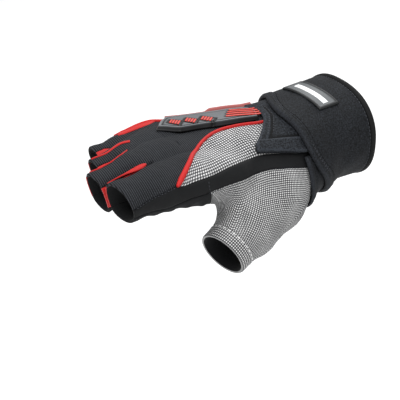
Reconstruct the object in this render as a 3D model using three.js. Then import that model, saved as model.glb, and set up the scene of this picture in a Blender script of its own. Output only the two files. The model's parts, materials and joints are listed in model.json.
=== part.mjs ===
// Right-hand fitness glove without fingertips, in its worn form, with a wrist wrap.
// Millimetres. The origin is the centre of the wrist opening. +X runs from the fingers to the
// forearm, +Z out of the back of the hand, -Y to the thumb side.
import * as THREE from 'three';

// Driving dimensions
const CLOTH = 1.3; // wall of the sewn panels
const LINING = 1.5; // wall of the inner cuff
const TRIM = 0.22; // each panel stops this far short of its seam
const WRIST_X = -46; // the sewn panels start here, under the wrap
const KNUCKLE_X = -129; // the finger strips start here
const HAND_STEPS = 14; // stations from wrist to knuckles
const WEB_STEPS = 5; // stations from knuckles to webs
const SLEEVE_STEPS = 4; // stations from webs to finger openings
const GROOVES = [-20.3, -0.8, 18.5]; // y of the planes between the fingers
const GROOVE_GAP = 0.35; // each finger stops this far from the plane
const TAB_LIFT = 0.6; // first wrist layer above the panels
const TAB_THICK = 1.7;
const WRAP_LIFT = 2.8; // second wrist layer
const WRAP_THICK = 2.3;

// Sections of wrist and hand: x, centre y, centre z, half breadth, half depth
const BODY_ROWS = [
  [25, 0, 1.0, 28.5, 24.5],
  [0, 0, 0.8, 28.0, 24.2],
  [-28, 0, 0.8, 27.5, 23.4],
  [-54, 0, 0.3, 28.5, 23.2],
  [-78, -1, 3.0, 32.0, 22.0],
  [-102, -1, 8.5, 37.0, 19.5],
  [-122, 0, 14.0, 39.5, 15.5],
  [-138, 0, 18.3, 38.5, 12.5],
  [-150, 0, 19.8, 37.0, 10.5],
  [-161, 0, 19.8, 35.5, 8.5],
];
const BODY_END = -161;
const BODY_POWER = 2.4;

// Finger centre lines: x, y, z, radius
const FINGERS = {
  index: [[-108, -27, 11, 12], [-134, -29, 17.5, 13], [-158, -30, 20.3, 12.3], [-180, -31, 20.3, 11.7],
    [-196, -32, 19, 11.5]],
  middle: [[-110, -9, 13, 12], [-138, -10, 19.5, 13], [-160, -10.5, 20.5, 12.3], [-182, -11, 17, 11.7],
    [-198, -11, 13, 11.5]],
  ring: [[-108, 9, 10, 12], [-132, 9, 15, 12.4], [-152, 9.3, 15.5, 12], [-169, 9.3, 12.8, 11.4],
    [-186, 9, 8, 11]],
  pinky: [[-100, 24, 8, 10.5], [-122, 26, 11.5, 11], [-142, 27.5, 11.5, 10.6], [-158, 28, 9.8, 10.2],
    [-176, 29, 7, 10]],
};
const FINGER_NAMES = ['index', 'middle', 'ring', 'pinky'];
const THUMB = [[-54, -13, -6, 19.2], [-76, -28, -14.5, 20.5], [-98, -37, -21.7, 17],
  [-121, -43, -28.2, 13.9], [-138, -47, -34, 13.5]];
const THUMB_BLEND = 18;
const FINGER_BLEND = 7;

// Finger openings: x of the cut, its lean with y and with z
const CUTS = {
  index: [-181, -0.155, -0.22],
  middle: [-182, -0.03, -0.27],
  ring: [-169, 0, -0.31],
  pinky: [-158, 0.05, -0.27],
};
const THUMB_CUT = { centre: [-121, -43, -28.2], axis: [-0.91, -0.22, -0.36], hem: 9 };

// Webs between the fingers: x of the tip on the back, on the palm, and of the first sleeve station
const WEBS = [
  { back: -156.5, palm: -157, start: -167 },
  { back: -155, palm: -156, start: -166.5 },
  { back: -145, palm: -147, start: -154 },
];

// Seams as x and angle round the section in degrees: 0 thumb side, 90 back of the hand
const PIPING_SEAM = [[-46, 70], [-58, 74], [-64, 76], [-69.5, 78.5], [-75.5, 82], [-81.5, 84],
  [-87.5, 84], [-93.5, 83.5], [-99.5, 81.5], [-105.5, 77.5], [-111, 73], [-117, 67], [-123, 60],
  [-129, 50], [-134.5, 42.5], [-140, 35.5], [-145.5, 28], [-151, 18.5]];
const BAND_TOP = [[-46, 20], [-58, 24], [-70, 31], [-82, 36.5], [-87.5, 37], [-93.5, 36], [-99.5, 35],
  [-105.5, 33.5], [-111, 32], [-117, 29.5], [-123, 26.5], [-129, 24], [-134.5, 22], [-140, 19.5],
  [-145.5, 17.5], [-151, 16]];
const BAND_LOW = [[-46, 2], [-54.5, 6], [-70, 14], [-84, 18], [-99, 14], [-115.6, 9], [-129, 0],
  [-140, -8], [-157, -19]];
const FAR_SEAM = [[-46, 120], [-68, 124], [-85, 126], [-100, 128], [-112, 130], [-122, 134], [-130, 139]];
const PALM_FAR = [[-46, -130], [-80, -135], [-130, -143]];
// Front and palm side of the thumb's seam, from the wrist to the web
const THUMB_SEAM = [[-46, -82], [-54, -82], [-62, -81.5], [-70, -80], [-78, -78], [-86, -75.5],
  [-94, -72], [-101.5, -67.5], [-108.5, -61.5], [-114.5, -54.5], [-119.5, -46.5], [-123.5, -37],
  [-126.5, -26], [-128.3, -13.5], [-129, 0]];
// Seams on the fingers as x and angle round the finger
const INDEX_TOP = [[-151, 25], [-158, 21], [-167, 15], [-176, 8], [-183, 5]];
const INDEX_LOW = [[-157, -20], [-168, -26], [-181, -23]];
const PINKY_FAR = [[-130, 108], [-136, 122], [-143, 142], [-150, 160], [-158, 170]];
// Angles at which the back, the strips between the fingers and the palm meet, per groove
const BACK_EDGE_A = [137, 137, 137];
const BACK_EDGE_B = [45, 65, 72];
const LEAF_BACK = 3; // the strips' tips stop this far short of the slits on the back
const LEAF_PALM = 5; // and on the palm
const PALM_EDGE_A = -145;
const PALM_EDGE_B = -35;

const rad = (degrees) => degrees * Math.PI / 180;
const add = (a, b) => [a[0] + b[0], a[1] + b[1], a[2] + b[2]];
const sub = (a, b) => [a[0] - b[0], a[1] - b[1], a[2] - b[2]];
const mul = (a, s) => [a[0] * s, a[1] * s, a[2] * s];
const dot = (a, b) => a[0] * b[0] + a[1] * b[1] + a[2] * b[2];
const cross = (a, b) => [a[1] * b[2] - a[2] * b[1], a[2] * b[0] - a[0] * b[2], a[0] * b[1] - a[1] * b[0]];
const size = (a) => Math.sqrt(dot(a, a));
const unit = (a) => mul(a, 1 / size(a));
const mix = (a, b, t) => [a[0] + (b[0] - a[0]) * t, a[1] + (b[1] - a[1]) * t, a[2] + (b[2] - a[2]) * t];
const lerp = (a, b, t) => a + (b - a) * t;
const clamp = (v, low, high) => Math.min(high, Math.max(low, v));
const ease = (t) => {
  const c = clamp(t, 0, 1);
  return c * c * (3 - 2 * c);
};

// Value of a table of [x, value] rows that runs towards -X
function along(rows, x) {
  let i = 0;
  while (i < rows.length - 2 && x < rows[i + 1][0]) {
    i += 1;
  }
  const t = clamp((x - rows[i][0]) / (rows[i + 1][0] - rows[i][0]), 0, 1);
  return lerp(rows[i][1], rows[i + 1][1], t);
}

// Smooth section of wrist and hand at x
function sectionAt(x) {
  const rows = BODY_ROWS;
  const last = rows.length - 1;
  const q = clamp(x, rows[last][0], rows[0][0]);
  let i = 0;
  while (i < last - 1 && q < rows[i + 1][0]) {
    i += 1;
  }
  const slope = (k, c) => {
    const a = Math.max(k - 1, 0);
    const b = Math.min(k + 1, last);
    return (rows[b][c] - rows[a][c]) / (rows[b][0] - rows[a][0]);
  };
  const h = rows[i + 1][0] - rows[i][0];
  const t = (q - rows[i][0]) / h;
  const h00 = 2 * t ** 3 - 3 * t ** 2 + 1;
  const h10 = t ** 3 - 2 * t ** 2 + t;
  const h01 = -2 * t ** 3 + 3 * t ** 2;
  const h11 = t ** 3 - t ** 2;
  return [1, 2, 3, 4].map((c) => (
    h00 * rows[i][c] + h10 * h * slope(i, c) + h01 * rows[i + 1][c] + h11 * h * slope(i + 1, c)
  ));
}

// The little finger's side of the hand drops and ends sooner
function archDrop(x, y) {
  const far = Math.max(y + 6, 0);
  return far * far * (0.0035 * ease((-70 - x) / 55) + 0.0025 * ease((-128 - x) / 22));
}

function softMin(a, b, k) {
  const h = Math.max(k - Math.abs(a - b), 0) / k;
  return Math.min(a, b) - h * h * k / 4;
}

function softMax(a, b, k) {
  const h = Math.max(k - Math.abs(a - b), 0) / k;
  return Math.max(a, b) + h * h * k / 4;
}

function bodyDistance(p) {
  const x = p[0] - ease((-95 - p[0]) / 40) * 0.85 * Math.max(p[1] - 4, 0);
  const z = p[2] + archDrop(p[0], p[1]);
  const [cy, cz, a, b] = sectionAt(x);
  const u = Math.abs((p[1] - cy) / a) ** BODY_POWER;
  const v = Math.abs((z - cz) / b) ** BODY_POWER;
  const side = ((u + v) ** (1 / BODY_POWER) - 1) * b * 0.9;
  return softMax(side, BODY_END - x, 8);
}

function coneDistance(p, a, b) {
  const ba = [b[0] - a[0], b[1] - a[1], b[2] - a[2]];
  const pa = [p[0] - a[0], p[1] - a[1], p[2] - a[2]];
  const h = clamp(dot(pa, ba) / dot(ba, ba), 0, 1);
  return size(sub(pa, mul(ba, h))) - lerp(a[3], b[3], h);
}

function chainDistance(p, rows) {
  let d = coneDistance(p, rows[0], rows[1]);
  for (let i = 1; i < rows.length - 1; i += 1) {
    d = softMin(d, coneDistance(p, rows[i], rows[i + 1]), 3);
  }
  return d;
}

// Signed distance, nearly, to the outside of the sewn panels
function form(p) {
  const hand = softMin(bodyDistance(p), chainDistance(p, THUMB), THUMB_BLEND);
  let best = hand;
  FINGER_NAMES.forEach((name, i) => {
    let d = chainDistance(p, FINGERS[name]);
    if (i > 0) {
      d = softMax(d, GROOVES[i - 1] + GROOVE_GAP - p[1], 5);
    }
    if (i < 3) {
      d = softMax(d, p[1] - GROOVES[i] + GROOVE_GAP, 5);
    }
    best = Math.min(best, softMin(hand, d, FINGER_BLEND));
  });
  return best;
}

function slopeOfForm(p) {
  const e = 0.4;
  return [0, 1, 2].map((i) => {
    const high = [...p];
    const low = [...p];
    high[i] += e;
    low[i] -= e;
    return (form(high) - form(low)) / (2 * e);
  });
}

const outward = (p) => unit(slopeOfForm(p));

// Nearest point of the form
function onForm(point) {
  let p = point;
  for (let i = 0; i < 12; i += 1) {
    const value = form(p);
    if (Math.abs(value) < 1e-4) {
      break;
    }
    const g = slopeOfForm(p);
    p = sub(p, mul(g, 0.9 * value / Math.max(dot(g, g), 0.25)));
  }
  return p;
}

// First way out of the form from an inner point towards a guess
function cast(from, guess) {
  const d = unit(sub(guess, from));
  let s = 0;
  for (let i = 0; i < 90; i += 1) {
    const value = form(add(from, mul(d, s)));
    if (value > -2e-4) {
      break;
    }
    s += Math.max(-value * 0.85, 1e-4);
  }
  return add(from, mul(d, s));
}

// Inner point and guess for the angle round the section
function handRay(x, degrees) {
  const [cy, cz, a, b] = sectionAt(x);
  const c = Math.cos(rad(degrees));
  const s = Math.sin(rad(degrees));
  const y = cy - a * c;
  const room = Math.max(a - b, 0) * 0.95;
  const inner = clamp(y, cy - room, cy + room);
  const z = cz - archDrop(x, inner);
  return [[x, inner, z], [x, y, cz + b * s - archDrop(x, y)]];
}

function fingerRay(name, x, degrees, lean) {
  const rows = FINGERS[name];
  const y = along(rows.map((r) => [r[0], r[1]]), x);
  const z = along(rows.map((r) => [r[0], r[2]]), x);
  const r = along(rows.map((row) => [row[0], row[3]]), x);
  const dy = -r * Math.cos(rad(degrees));
  const dz = r * Math.sin(rad(degrees));
  const [, leanY, leanZ] = CUTS[name];
  const side = clamp(dy, -7, 7) * 0.35;
  return [[x, y + side, z], [x + lean * (leanY * dy + leanZ * dz), y + dy, z + dz]];
}

const handPoint = (x, degrees) => cast(...handRay(x, degrees));
const fingerPoint = (name, x, degrees, lean) => cast(...fingerRay(name, x, degrees, lean));

// Straight up or straight down from the middle of the hand
function plumbRay(x, y, sign) {
  const z = sectionAt(x)[1] - archDrop(x, y);
  return [[x, y, z], [x, y, z + 30 * sign]];
}

const handX = (k) => lerp(WRIST_X, KNUCKLE_X, k / HAND_STEPS);
const FIRST_SLEEVE = HAND_STEPS + WEB_STEPS + 1;
const STATIONS = HAND_STEPS + WEB_STEPS + SLEEVE_STEPS;

// x of a station on one side of a finger
function stationX(k, tip, start, end) {
  if (k <= HAND_STEPS) {
    return handX(k);
  }
  if (k < FIRST_SLEEVE) {
    return lerp(KNUCKLE_X, tip, (k - HAND_STEPS) / WEB_STEPS);
  }
  return lerp(start, end, (k - FIRST_SLEEVE) / (SLEEVE_STEPS - 1));
}

const leanOf = (k) => ease((k - HAND_STEPS - WEB_STEPS) / SLEEVE_STEPS);

// Shared seam vertices
const ends = { index: CUTS.index[0], pinky: CUTS.pinky[0] };
const nearX = (k) => stationX(k, WEBS[0].back, WEBS[0].start, ends.index);
const farX = (k) => stationX(k, WEBS[2].back, WEBS[2].start, ends.pinky);
const range = (n) => Array.from({ length: n }, (_, i) => i);
const MEET = HAND_STEPS + WEB_STEPS - 1; // piping and band meet at this station

const pipingSeam = range(STATIONS + 1).map((k) => (
  k <= MEET ? handPoint(nearX(k), along(PIPING_SEAM, nearX(k)))
    : fingerPoint('index', nearX(k), along(INDEX_TOP, nearX(k)), leanOf(k))
));
const bandTop = range(STATIONS + 1).map((k) => (
  k < MEET ? handPoint(nearX(k), along(BAND_TOP, nearX(k))) : pipingSeam[k]
));
const bandLow = range(STATIONS + 1).map((k) => (
  k <= HAND_STEPS + WEB_STEPS - 1 ? handPoint(nearX(k), along(BAND_LOW, nearX(k)))
    : fingerPoint('index', nearX(k), along(INDEX_LOW, nearX(k)), leanOf(k))
));
const thumbSeam = THUMB_SEAM.map(([x, angle]) => handPoint(x, angle));
thumbSeam[HAND_STEPS] = bandLow[HAND_STEPS];
const farSeam = range(STATIONS + 1).map((k) => (
  k <= HAND_STEPS ? handPoint(farX(k), along(FAR_SEAM, farX(k)))
    : fingerPoint('pinky', farX(k), along(PINKY_FAR, farX(k)), leanOf(k))
));
const palmFar = range(STATIONS + 1).map((k) => (
  k <= HAND_STEPS ? handPoint(farX(k), along(PALM_FAR, farX(k)))
    : fingerPoint('pinky', farX(k), PALM_EDGE_A, leanOf(k))
));

// A sheet: points on the form and faces that index them
class Sheet {
  constructor() {
    this.points = [];
    this.faces = [];
    this.keys = new Map();
  }

  point(p) {
    const key = p.map((v) => Math.round(v * 1e4)).join(' ');
    if (!this.keys.has(key)) {
      this.keys.set(key, this.points.length);
      this.points.push(p);
    }
    return this.keys.get(key);
  }

  face(a, b, c, d) {
    const corner = [a, b, c, d].filter((v, i, all) => all.indexOf(v) === i);
    if (corner.length === 3) {
      this.faces.push(corner);
    } else if (corner.length === 4) {
      const ac = size(sub(this.points[a], this.points[c]));
      const bd = size(sub(this.points[b], this.points[d]));
      if (ac <= bd) {
        this.faces.push([a, b, c], [a, c, d]);
      } else {
        this.faces.push([b, c, d], [b, d, a]);
      }
    }
  }

  // Rows of points; closed joins the last column to the first
  rows(grid, closed = false) {
    const id = grid.map((row) => row.map((p) => this.point(p)));
    for (let i = 0; i + 1 < id.length; i += 1) {
      const n = id[i].length;
      for (let j = 0; j + 1 < n + (closed ? 1 : 0); j += 1) {
        const m = (j + 1) % n;
        this.face(id[i][j], id[i][m], id[i + 1][m], id[i + 1][j]);
      }
    }
    return this;
  }

  borders() {
    const seen = new Map();
    this.faces.forEach((f) => f.forEach((a, i) => {
      const b = f[(i + 1) % 3];
      seen.set(`${a} ${b}`, [a, b]);
    }));
    return [...seen.values()].filter(([a, b]) => !seen.has(`${b} ${a}`));
  }
}

// Gives a sheet its wall. low and high are heights above the form, one number or one per point.
function wall(sheet, low, high, trim = TRIM, normalOf = outward) {
  const { points, faces } = sheet;
  const normals = points.map((p) => normalOf(p));
  const f = faces[Math.floor(faces.length / 2)];
  const facing = cross(sub(points[f[1]], points[f[0]]), sub(points[f[2]], points[f[0]]));
  if (dot(facing, normals[f[0]]) < 0) {
    faces.forEach((face) => face.reverse());
  }
  const border = sheet.borders();
  const inward = new Map();
  border.forEach(([a, b]) => {
    const d = sub(points[b], points[a]);
    [a, b].forEach((v) => {
      const side = unit(cross(normals[v], d));
      inward.set(v, [...(inward.get(v) || []), side]);
    });
  });
  const moved = points.map((p, v) => {
    const sides = inward.get(v);
    if (!sides || trim === 0) {
      return p;
    }
    const sum = sides.reduce(add, [0, 0, 0]);
    const cosine = sides.length > 1 ? dot(sides[0], sides[1]) : 1;
    return add(p, mul(sum, trim / Math.max(1 + cosine, 0.45) * (sides.length > 1 ? 1 : 2)));
  });
  const at = (value, v) => (typeof value === 'number' ? value : value[v]);
  const n = points.length;
  const position = [];
  moved.forEach((p, v) => position.push(...add(p, mul(normals[v], at(high, v)))));
  moved.forEach((p, v) => position.push(...add(p, mul(normals[v], at(low, v)))));
  const index = [];
  faces.forEach(([a, b, c]) => index.push(a, b, c, n + a, n + c, n + b));
  border.forEach(([a, b]) => index.push(b, a, n + a, b, n + a, n + b));
  const geometry = new THREE.BufferGeometry();
  geometry.setAttribute('position', new THREE.Float32BufferAttribute(position, 3));
  geometry.setIndex(index);
  geometry.computeVertexNormals();
  return geometry;
}

// Panel that splits into four finger strips. sign is 1 for the back and -1 for the palm.
function fingerPanel(near, far, nearAngle, farAngle, columns, sign) {
  const sheet = new Sheet();
  const tips = WEBS.map((w) => (sign > 0 ? w.back : w.palm));
  const edgeA = (b) => (sign > 0 ? BACK_EDGE_A[b] : PALM_EDGE_A);
  const edgeB = (b) => (sign > 0 ? BACK_EDGE_B[b] : PALM_EDGE_B);
  const total = columns * 4;
  const handRow = (k) => range(total + 1).map((j) => {
    if (j === 0) {
      return near[k];
    }
    if (j === total) {
      return far[k];
    }
    const t = j / total;
    return handPoint(lerp(near[k][0], far[k][0], t), lerp(nearAngle(k), farAngle(k), t));
  });
  const rows = range(HAND_STEPS + 1).map(handRow);
  sheet.rows(rows);
  const knuckles = rows[HAND_STEPS];
  FINGER_NAMES.forEach((name, d) => {
    const end = CUTS[name][0];
    const tipA = d > 0 ? tips[d - 1] : tips[0];
    const tipB = d < 3 ? tips[d] : tips[2];
    const startA = d > 0 ? WEBS[d - 1].start : WEBS[0].start;
    const startB = d < 3 ? WEBS[d].start : WEBS[2].start;
    const strip = [knuckles.slice(d * columns, (d + 1) * columns + 1)];
    const shared = (b, k) => {
      const t = (k - HAND_STEPS) / WEB_STEPS;
      const from = knuckles[(b + 1) * columns];
      return cast(...plumbRay(lerp(from[0], tips[b], t), lerp(from[1], GROOVES[b], ease(t)), sign));
    };
    for (let k = HAND_STEPS + 1; k <= STATIONS; k += 1) {
      const web = k < FIRST_SLEEVE;
      const xa = stationX(k, tipA, startA, end);
      const xb = stationX(k, tipB, startB, end);
      const left = d > 0 ? edgeB(d - 1) : nearAngle(k, true);
      const right = d < 3 ? edgeA(d) : farAngle(k, true);
      strip.push(range(columns + 1).map((j) => {
        if (d === 0 && j === 0) {
          return near[k];
        }
        if (d === 3 && j === columns) {
          return far[k];
        }
        const t = j / columns;
        const x = lerp(xa, xb, t);
        const ray = fingerRay(name, x, lerp(left, right, t), leanOf(k));
        if (!web) {
          return cast(...ray);
        }
        if (d > 0 && j === 0) {
          return shared(d - 1, k);
        }
        if (d < 3 && j === columns) {
          return shared(d, k);
        }
        const s = (k - HAND_STEPS) / (WEB_STEPS + 1);
        const from = knuckles[d * columns + j];
        const plumb = plumbRay(x, from[1], sign);
        const w = ease(s);
        const guess = mix(from, ray[1], w);
        guess[0] = lerp(x, ray[1][0], w);
        return cast(mix(plumb[0], ray[0], w), guess);
      }));
    }
    sheet.rows(strip);
  });
  return sheet;
}

const BACK_NEAR = [[-129, 95], [-132.5, 88], [-139.3, 66], [-147, 39], ...INDEX_TOP];
const backAngleNear = (k, onFinger) => along(onFinger ? BACK_NEAR : PIPING_SEAM, nearX(k));
const backAngleFar = (k, onFinger) => along(onFinger ? PINKY_FAR : FAR_SEAM, farX(k));
const backSheet = fingerPanel(pipingSeam, farSeam, backAngleNear, backAngleFar, 5, 1);

// The palm's near edge follows the thumb's seam and then the band
const palmNear = range(STATIONS + 1).map((k) => (k <= HAND_STEPS ? thumbSeam[k] : bandLow[k]));
const palmAngleNear = (k, onFinger) => (
  onFinger ? along([[-129, -5], [-140, -12], ...INDEX_LOW], nearX(k)) : THUMB_SEAM[k][1]
);
const palmAngleFar = (k, onFinger) => (onFinger ? PALM_EDGE_A : along(PALM_FAR, farX(k)));
const palmSheet = fingerPanel(palmNear, palmFar, palmAngleNear, palmAngleFar, 4, -1);

// Panel between two seams with the same stations, which may meet in a point
function between(low, high, first, last, columns, point) {
  const grid = [];
  for (let k = first; k <= last; k += 1) {
    grid.push(range(columns + 1).map((j) => {
      if (j === 0 || low[k] === high[k]) {
        return low[k];
      }
      if (j === columns) {
        return high[k];
      }
      return point(k, j / columns);
    }));
  }
  return new Sheet().rows(grid);
}

// Angle part of the way from one seam table to another
const blend = (low, high, x, t, turn = 0) => lerp(along(low, x), along(high, x) + turn, t);

const meshSheet = between(bandTop, pipingSeam, 0, MEET, 5, (k, t) => (
  handPoint(nearX(k), blend(BAND_TOP, PIPING_SEAM, nearX(k), t))
));
const bandSheet = between(bandLow, bandTop, 0, STATIONS, 3, (k, t) => (
  k < MEET ? handPoint(nearX(k), blend(BAND_LOW, BAND_TOP, nearX(k), t))
    : fingerPoint('index', nearX(k), blend(INDEX_LOW, INDEX_TOP, nearX(k), t), leanOf(k))
));
const outerSheet = between(farSeam, palmFar, 0, STATIONS, 4, (k, t) => (
  k <= HAND_STEPS ? handPoint(farX(k), blend(FAR_SEAM, PALM_FAR, farX(k), t, 360))
    : fingerPoint('pinky', farX(k), lerp(along(PINKY_FAR, farX(k)), PALM_EDGE_A + 360, t), leanOf(k))
));

// Strips between the fingers: side of one finger, round the web, side of the next
function fourchette(b) {
  const first = FINGER_NAMES[b];
  const second = FINGER_NAMES[b + 1];
  const across = 5;
  const web = WEBS[b];
  const grid = [];
  const side = (name, k, from, to) => {
    const x = stationX(k, web.back, web.start, CUTS[name][0]);
    return range(across + 1).map((j) => fingerPoint(name, x, lerp(from, to, j / across), leanOf(k)));
  };
  for (let k = STATIONS; k >= FIRST_SLEEVE; k -= 1) {
    grid.push(side(first, k, BACK_EDGE_A[b], PALM_EDGE_A + 360));
  }
  const y = GROOVES[b];
  const top = cast(...plumbRay(web.back - LEAF_BACK, y, 1));
  const bottom = cast(...plumbRay(web.palm - LEAF_PALM, y, -1));
  const inside = [web.back + 10, y, (top[2] + bottom[2]) / 2];
  grid.push(range(across + 1).map((j) => {
    if (j === 0) {
      return top;
    }
    if (j === across) {
      return bottom;
    }
    const start = Math.atan2(top[2] - inside[2], -(top[0] - inside[0]));
    const stop = Math.atan2(bottom[2] - inside[2], -(bottom[0] - inside[0]));
    const angle = lerp(start, stop, j / across);
    return cast(inside, add(inside, [-20 * Math.cos(angle), 0, 20 * Math.sin(angle)]));
  }));
  for (let k = FIRST_SLEEVE; k <= STATIONS; k += 1) {
    grid.push(side(second, k, BACK_EDGE_B[b], PALM_EDGE_B));
  }
  return new Sheet().rows(grid);
}

// Thumb: from the closed seam on the hand to the opening
const wristSide = [-68, -54, -40, -26, -12].map((angle) => handPoint(WRIST_X, angle));
const thumbLoop = [
  ...bandLow.slice(0, HAND_STEPS + 1),
  ...thumbSeam.slice(0, HAND_STEPS).reverse(),
  ...wristSide,
];
const thumbAxis = unit(THUMB_CUT.axis);
const thumbSide = unit(cross(thumbAxis, [0, 0, 1]));
const thumbUp = cross(thumbSide, thumbAxis);

function thumbRings() {
  const n = thumbLoop.length;
  const centre = mul(thumbLoop.reduce(add, [0, 0, 0]), 1 / n);
  const angles = thumbLoop.map((p) => {
    const d = sub(p, centre);
    return Math.atan2(dot(d, thumbUp), dot(d, thumbSide));
  });
  for (let i = 1; i < n; i += 1) {
    while (angles[i] - angles[i - 1] > Math.PI) {
      angles[i] -= 2 * Math.PI;
    }
    while (angles[i] - angles[i - 1] < -Math.PI) {
      angles[i] += 2 * Math.PI;
    }
  }
  const turn = Math.sign(angles[n - 1] - angles[0]) * 2 * Math.PI;
  const mean = angles.reduce((s, a, i) => s + a - turn * i / n, 0) / n;
  const even = angles.map((a, i) => lerp(a, mean + turn * i / n, 0.7));
  const ringAt = (back) => even.map((angle) => {
    const from = add(THUMB_CUT.centre, mul(thumbAxis, -back));
    const out = add(mul(thumbSide, Math.cos(angle)), mul(thumbUp, Math.sin(angle)));
    return cast(from, add(from, out));
  });
  const rowsOut = 8;
  const hemRing = ringAt(THUMB_CUT.hem);
  const grid = range(rowsOut + 1).map((i) => {
    if (i === 0) {
      return thumbLoop;
    }
    if (i === rowsOut) {
      return hemRing;
    }
    return thumbLoop.map((p, j) => onForm(mix(p, hemRing[j], i / rowsOut)));
  });
  for (let round = 0; round < 40; round += 1) {
    for (let i = 1; i < rowsOut; i += 1) {
      grid[i] = grid[i].map((p, j) => {
        const around = [grid[i - 1][j], grid[i + 1][j], grid[i][(j + 1) % n], grid[i][(j + n - 1) % n]];
        return onForm(mul(around.reduce(add, [0, 0, 0]), 0.25));
      });
    }
  }
  return { sleeve: grid, hem: [hemRing, ringAt(THUMB_CUT.hem / 2), ringAt(0)] };
}

// Wrist layers: rows by angle, columns by x
function cuffSheet(stations, leftOf, rightOf, columns, closed) {
  const grid = range(columns + 1).map((i) => stations.map((angle) => (
    handPoint(lerp(leftOf(angle), rightOf(angle), i / columns), angle)
  )));
  return new Sheet().rows(grid, closed);
}

const materials = {
  knit: ['#26282a', 0.9],
  smooth: ['#1b1c1e', 0.85],
  mesh: ['#9a9c9c', 0.9],
  red: ['#c8403c', 0.7],
  rubber: ['#55585b', 0.6],
  elastic: ['#2b2c2e', 0.9],
  palm: ['#1e1f20', 0.8],
  label: ['#2a2b2c', 0.5],
  silver: ['#e4e5e5', 0.4],
};

const glove = new THREE.Group();
glove.name = 'fitness_glove';

function put(name, geometry, look) {
  const [color, roughness] = materials[look];
  const material = new THREE.MeshStandardMaterial({ color, roughness, metalness: 0 });
  material.name = look;
  const mesh = new THREE.Mesh(geometry, material);
  mesh.name = name;
  glove.add(mesh);
}

put('back_panel', wall(backSheet, -CLOTH, 0), 'knit');
put('mesh_panel', wall(meshSheet, -CLOTH, 0), 'mesh');
put('side_band', wall(bandSheet, -CLOTH, 0), 'smooth');
put('outer_panel', wall(outerSheet, -CLOTH, 0), 'smooth');
put('palm_panel', wall(palmSheet, -CLOTH, 0), 'palm');
range(3).forEach((b) => {
  put(`fourchette_${b + 1}`, wall(fourchette(b), -CLOTH, 0, 2 * TRIM), 'red');
});
const thumb = thumbRings();
put('thumb_sleeve', wall(new Sheet().rows(thumb.sleeve, true), -CLOTH, 0), 'mesh');
put('thumb_hem', wall(new Sheet().rows(thumb.hem, true), -CLOTH, 0.2), 'mesh');

// Raised piping over the two edges of the back panel
function piping(seam, first, last) {
  const grid = [[], [], []];
  const high = [0.9, 1.6, 0.9];
  const heights = [];
  const sheet = new Sheet();
  for (let k = first; k <= last; k += 1) {
    const along3 = sub(seam[Math.min(k + 1, last)], seam[Math.max(k - 1, first)]);
    const side = unit(cross(outward(seam[k]), along3));
    [-1.2, 0, 1.2].forEach((offset, i) => {
      const p = onForm(add(seam[k], mul(side, offset)));
      grid[i].push(p);
      heights[sheet.point(p)] = high[i];
    });
  }
  sheet.rows(grid);
  return wall(sheet, 0.35, heights, 0);
}

const PIPING_START = 4;
put('piping_near', piping(pipingSeam, PIPING_START, MEET), 'red');
put('piping_far', piping(farSeam, PIPING_START, MEET), 'red');

// Inner cuff
const TURN = range(32).map((i) => i * 11.25);
put('cuff_lining', wall(cuffSheet(TURN, () => -45.3, () => -1.5, 5, true), -LINING, 0), 'elastic');

// Tab on the back of the wrist: angle and x of its front edge, x and angle of its lower edge
const TAB_FRONT = [[150, -80], [140, -75], [125, -66], [106, -61.5], [86, -65], [66, -75], [48, -86],
  [39, -87.5]];
const TAB_BOTTOM = [[-28, 22], [-55, 22], [-72, 31], [-87.5, 39]];
const TAB_REAR = -28;
const TAB_SIDES = [39, 150];

function tabPoint(s, t) {
  const x = lerp(along(TAB_FRONT, lerp(TAB_SIDES[0], TAB_SIDES[1], t)), TAB_REAR, s);
  return handPoint(x, lerp(along(TAB_BOTTOM, x), TAB_SIDES[1], t));
}

const tabHigh = TAB_LIFT + TAB_THICK;
const tabGrid = range(9).map((i) => range(12).map((j) => tabPoint(i / 8, j / 11)));
put('wrist_tab', wall(new Sheet().rows(tabGrid), TAB_LIFT, tabHigh), 'elastic');

// Binding on the front and lower edges of the tab
const BIND = 0.11;
const bindStart = range(12).map((j) => 1 - j / 11).map((t) => [[0, t], [BIND, Math.max(t, BIND)]]);
const bindRest = range(4).map((j) => 0.2 + j * 0.1).map((s) => [[s, 0], [s, BIND]]);
const bindGrid = [0, 1].map((side) => [...bindStart, ...bindRest].map((pair) => tabPoint(...pair[side])));
put('tab_binding', wall(new Sheet().rows(bindGrid), tabHigh + 0.35, tabHigh + 0.8, 0), 'elastic');

// Wrap: one long strip, wound down from the thumb side, over the tab and round again
const WRAP_START = 18;
const WRAP_END = -495;
const WRAP_LEFT = [[18, -57], [-20, -57], [-60, -52], [-100, -49], [-150, -45], [-200, -42],
  [-234, -45], [-245, -48.5], [-259, -53], [-288, -58], [-313, -55.5], [-338, -55], [-356, -52],
  [-378, -43], [-400, -38], [-440, -36], [-495, -38]];
const wrapLeft = (angle) => along(WRAP_LEFT, angle);
const wrapAngles = range(46).map((i) => lerp(WRAP_START, WRAP_END, i / 45));
const wrapLow = (angle) => lerp(TAB_LIFT, WRAP_LIFT, ease((-150 - angle) / 50));
const wrapHigh = (angle) => wrapLow(angle) + lerp(TAB_THICK, WRAP_THICK, ease((-150 - angle) / 50));

// Strip wound round the wrist, whose turns lie over one another
function woundStrip(angles, leftOf, rightOf, columns, lowOf, highOf) {
  const sheet = new Sheet();
  const lows = [];
  const highs = [];
  const id = range(columns + 1).map((i) => angles.map((angle) => {
    const p = handPoint(lerp(leftOf(angle), rightOf(angle), i / columns), angle);
    sheet.points.push(p);
    lows.push(lowOf(angle));
    highs.push(highOf(angle));
    return sheet.points.length - 1;
  }));
  for (let i = 0; i < columns; i += 1) {
    for (let j = 0; j + 1 < angles.length; j += 1) {
      sheet.face(id[i][j], id[i][j + 1], id[i + 1][j + 1], id[i + 1][j]);
    }
  }
  return wall(sheet, lows, highs, 0);
}

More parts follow.
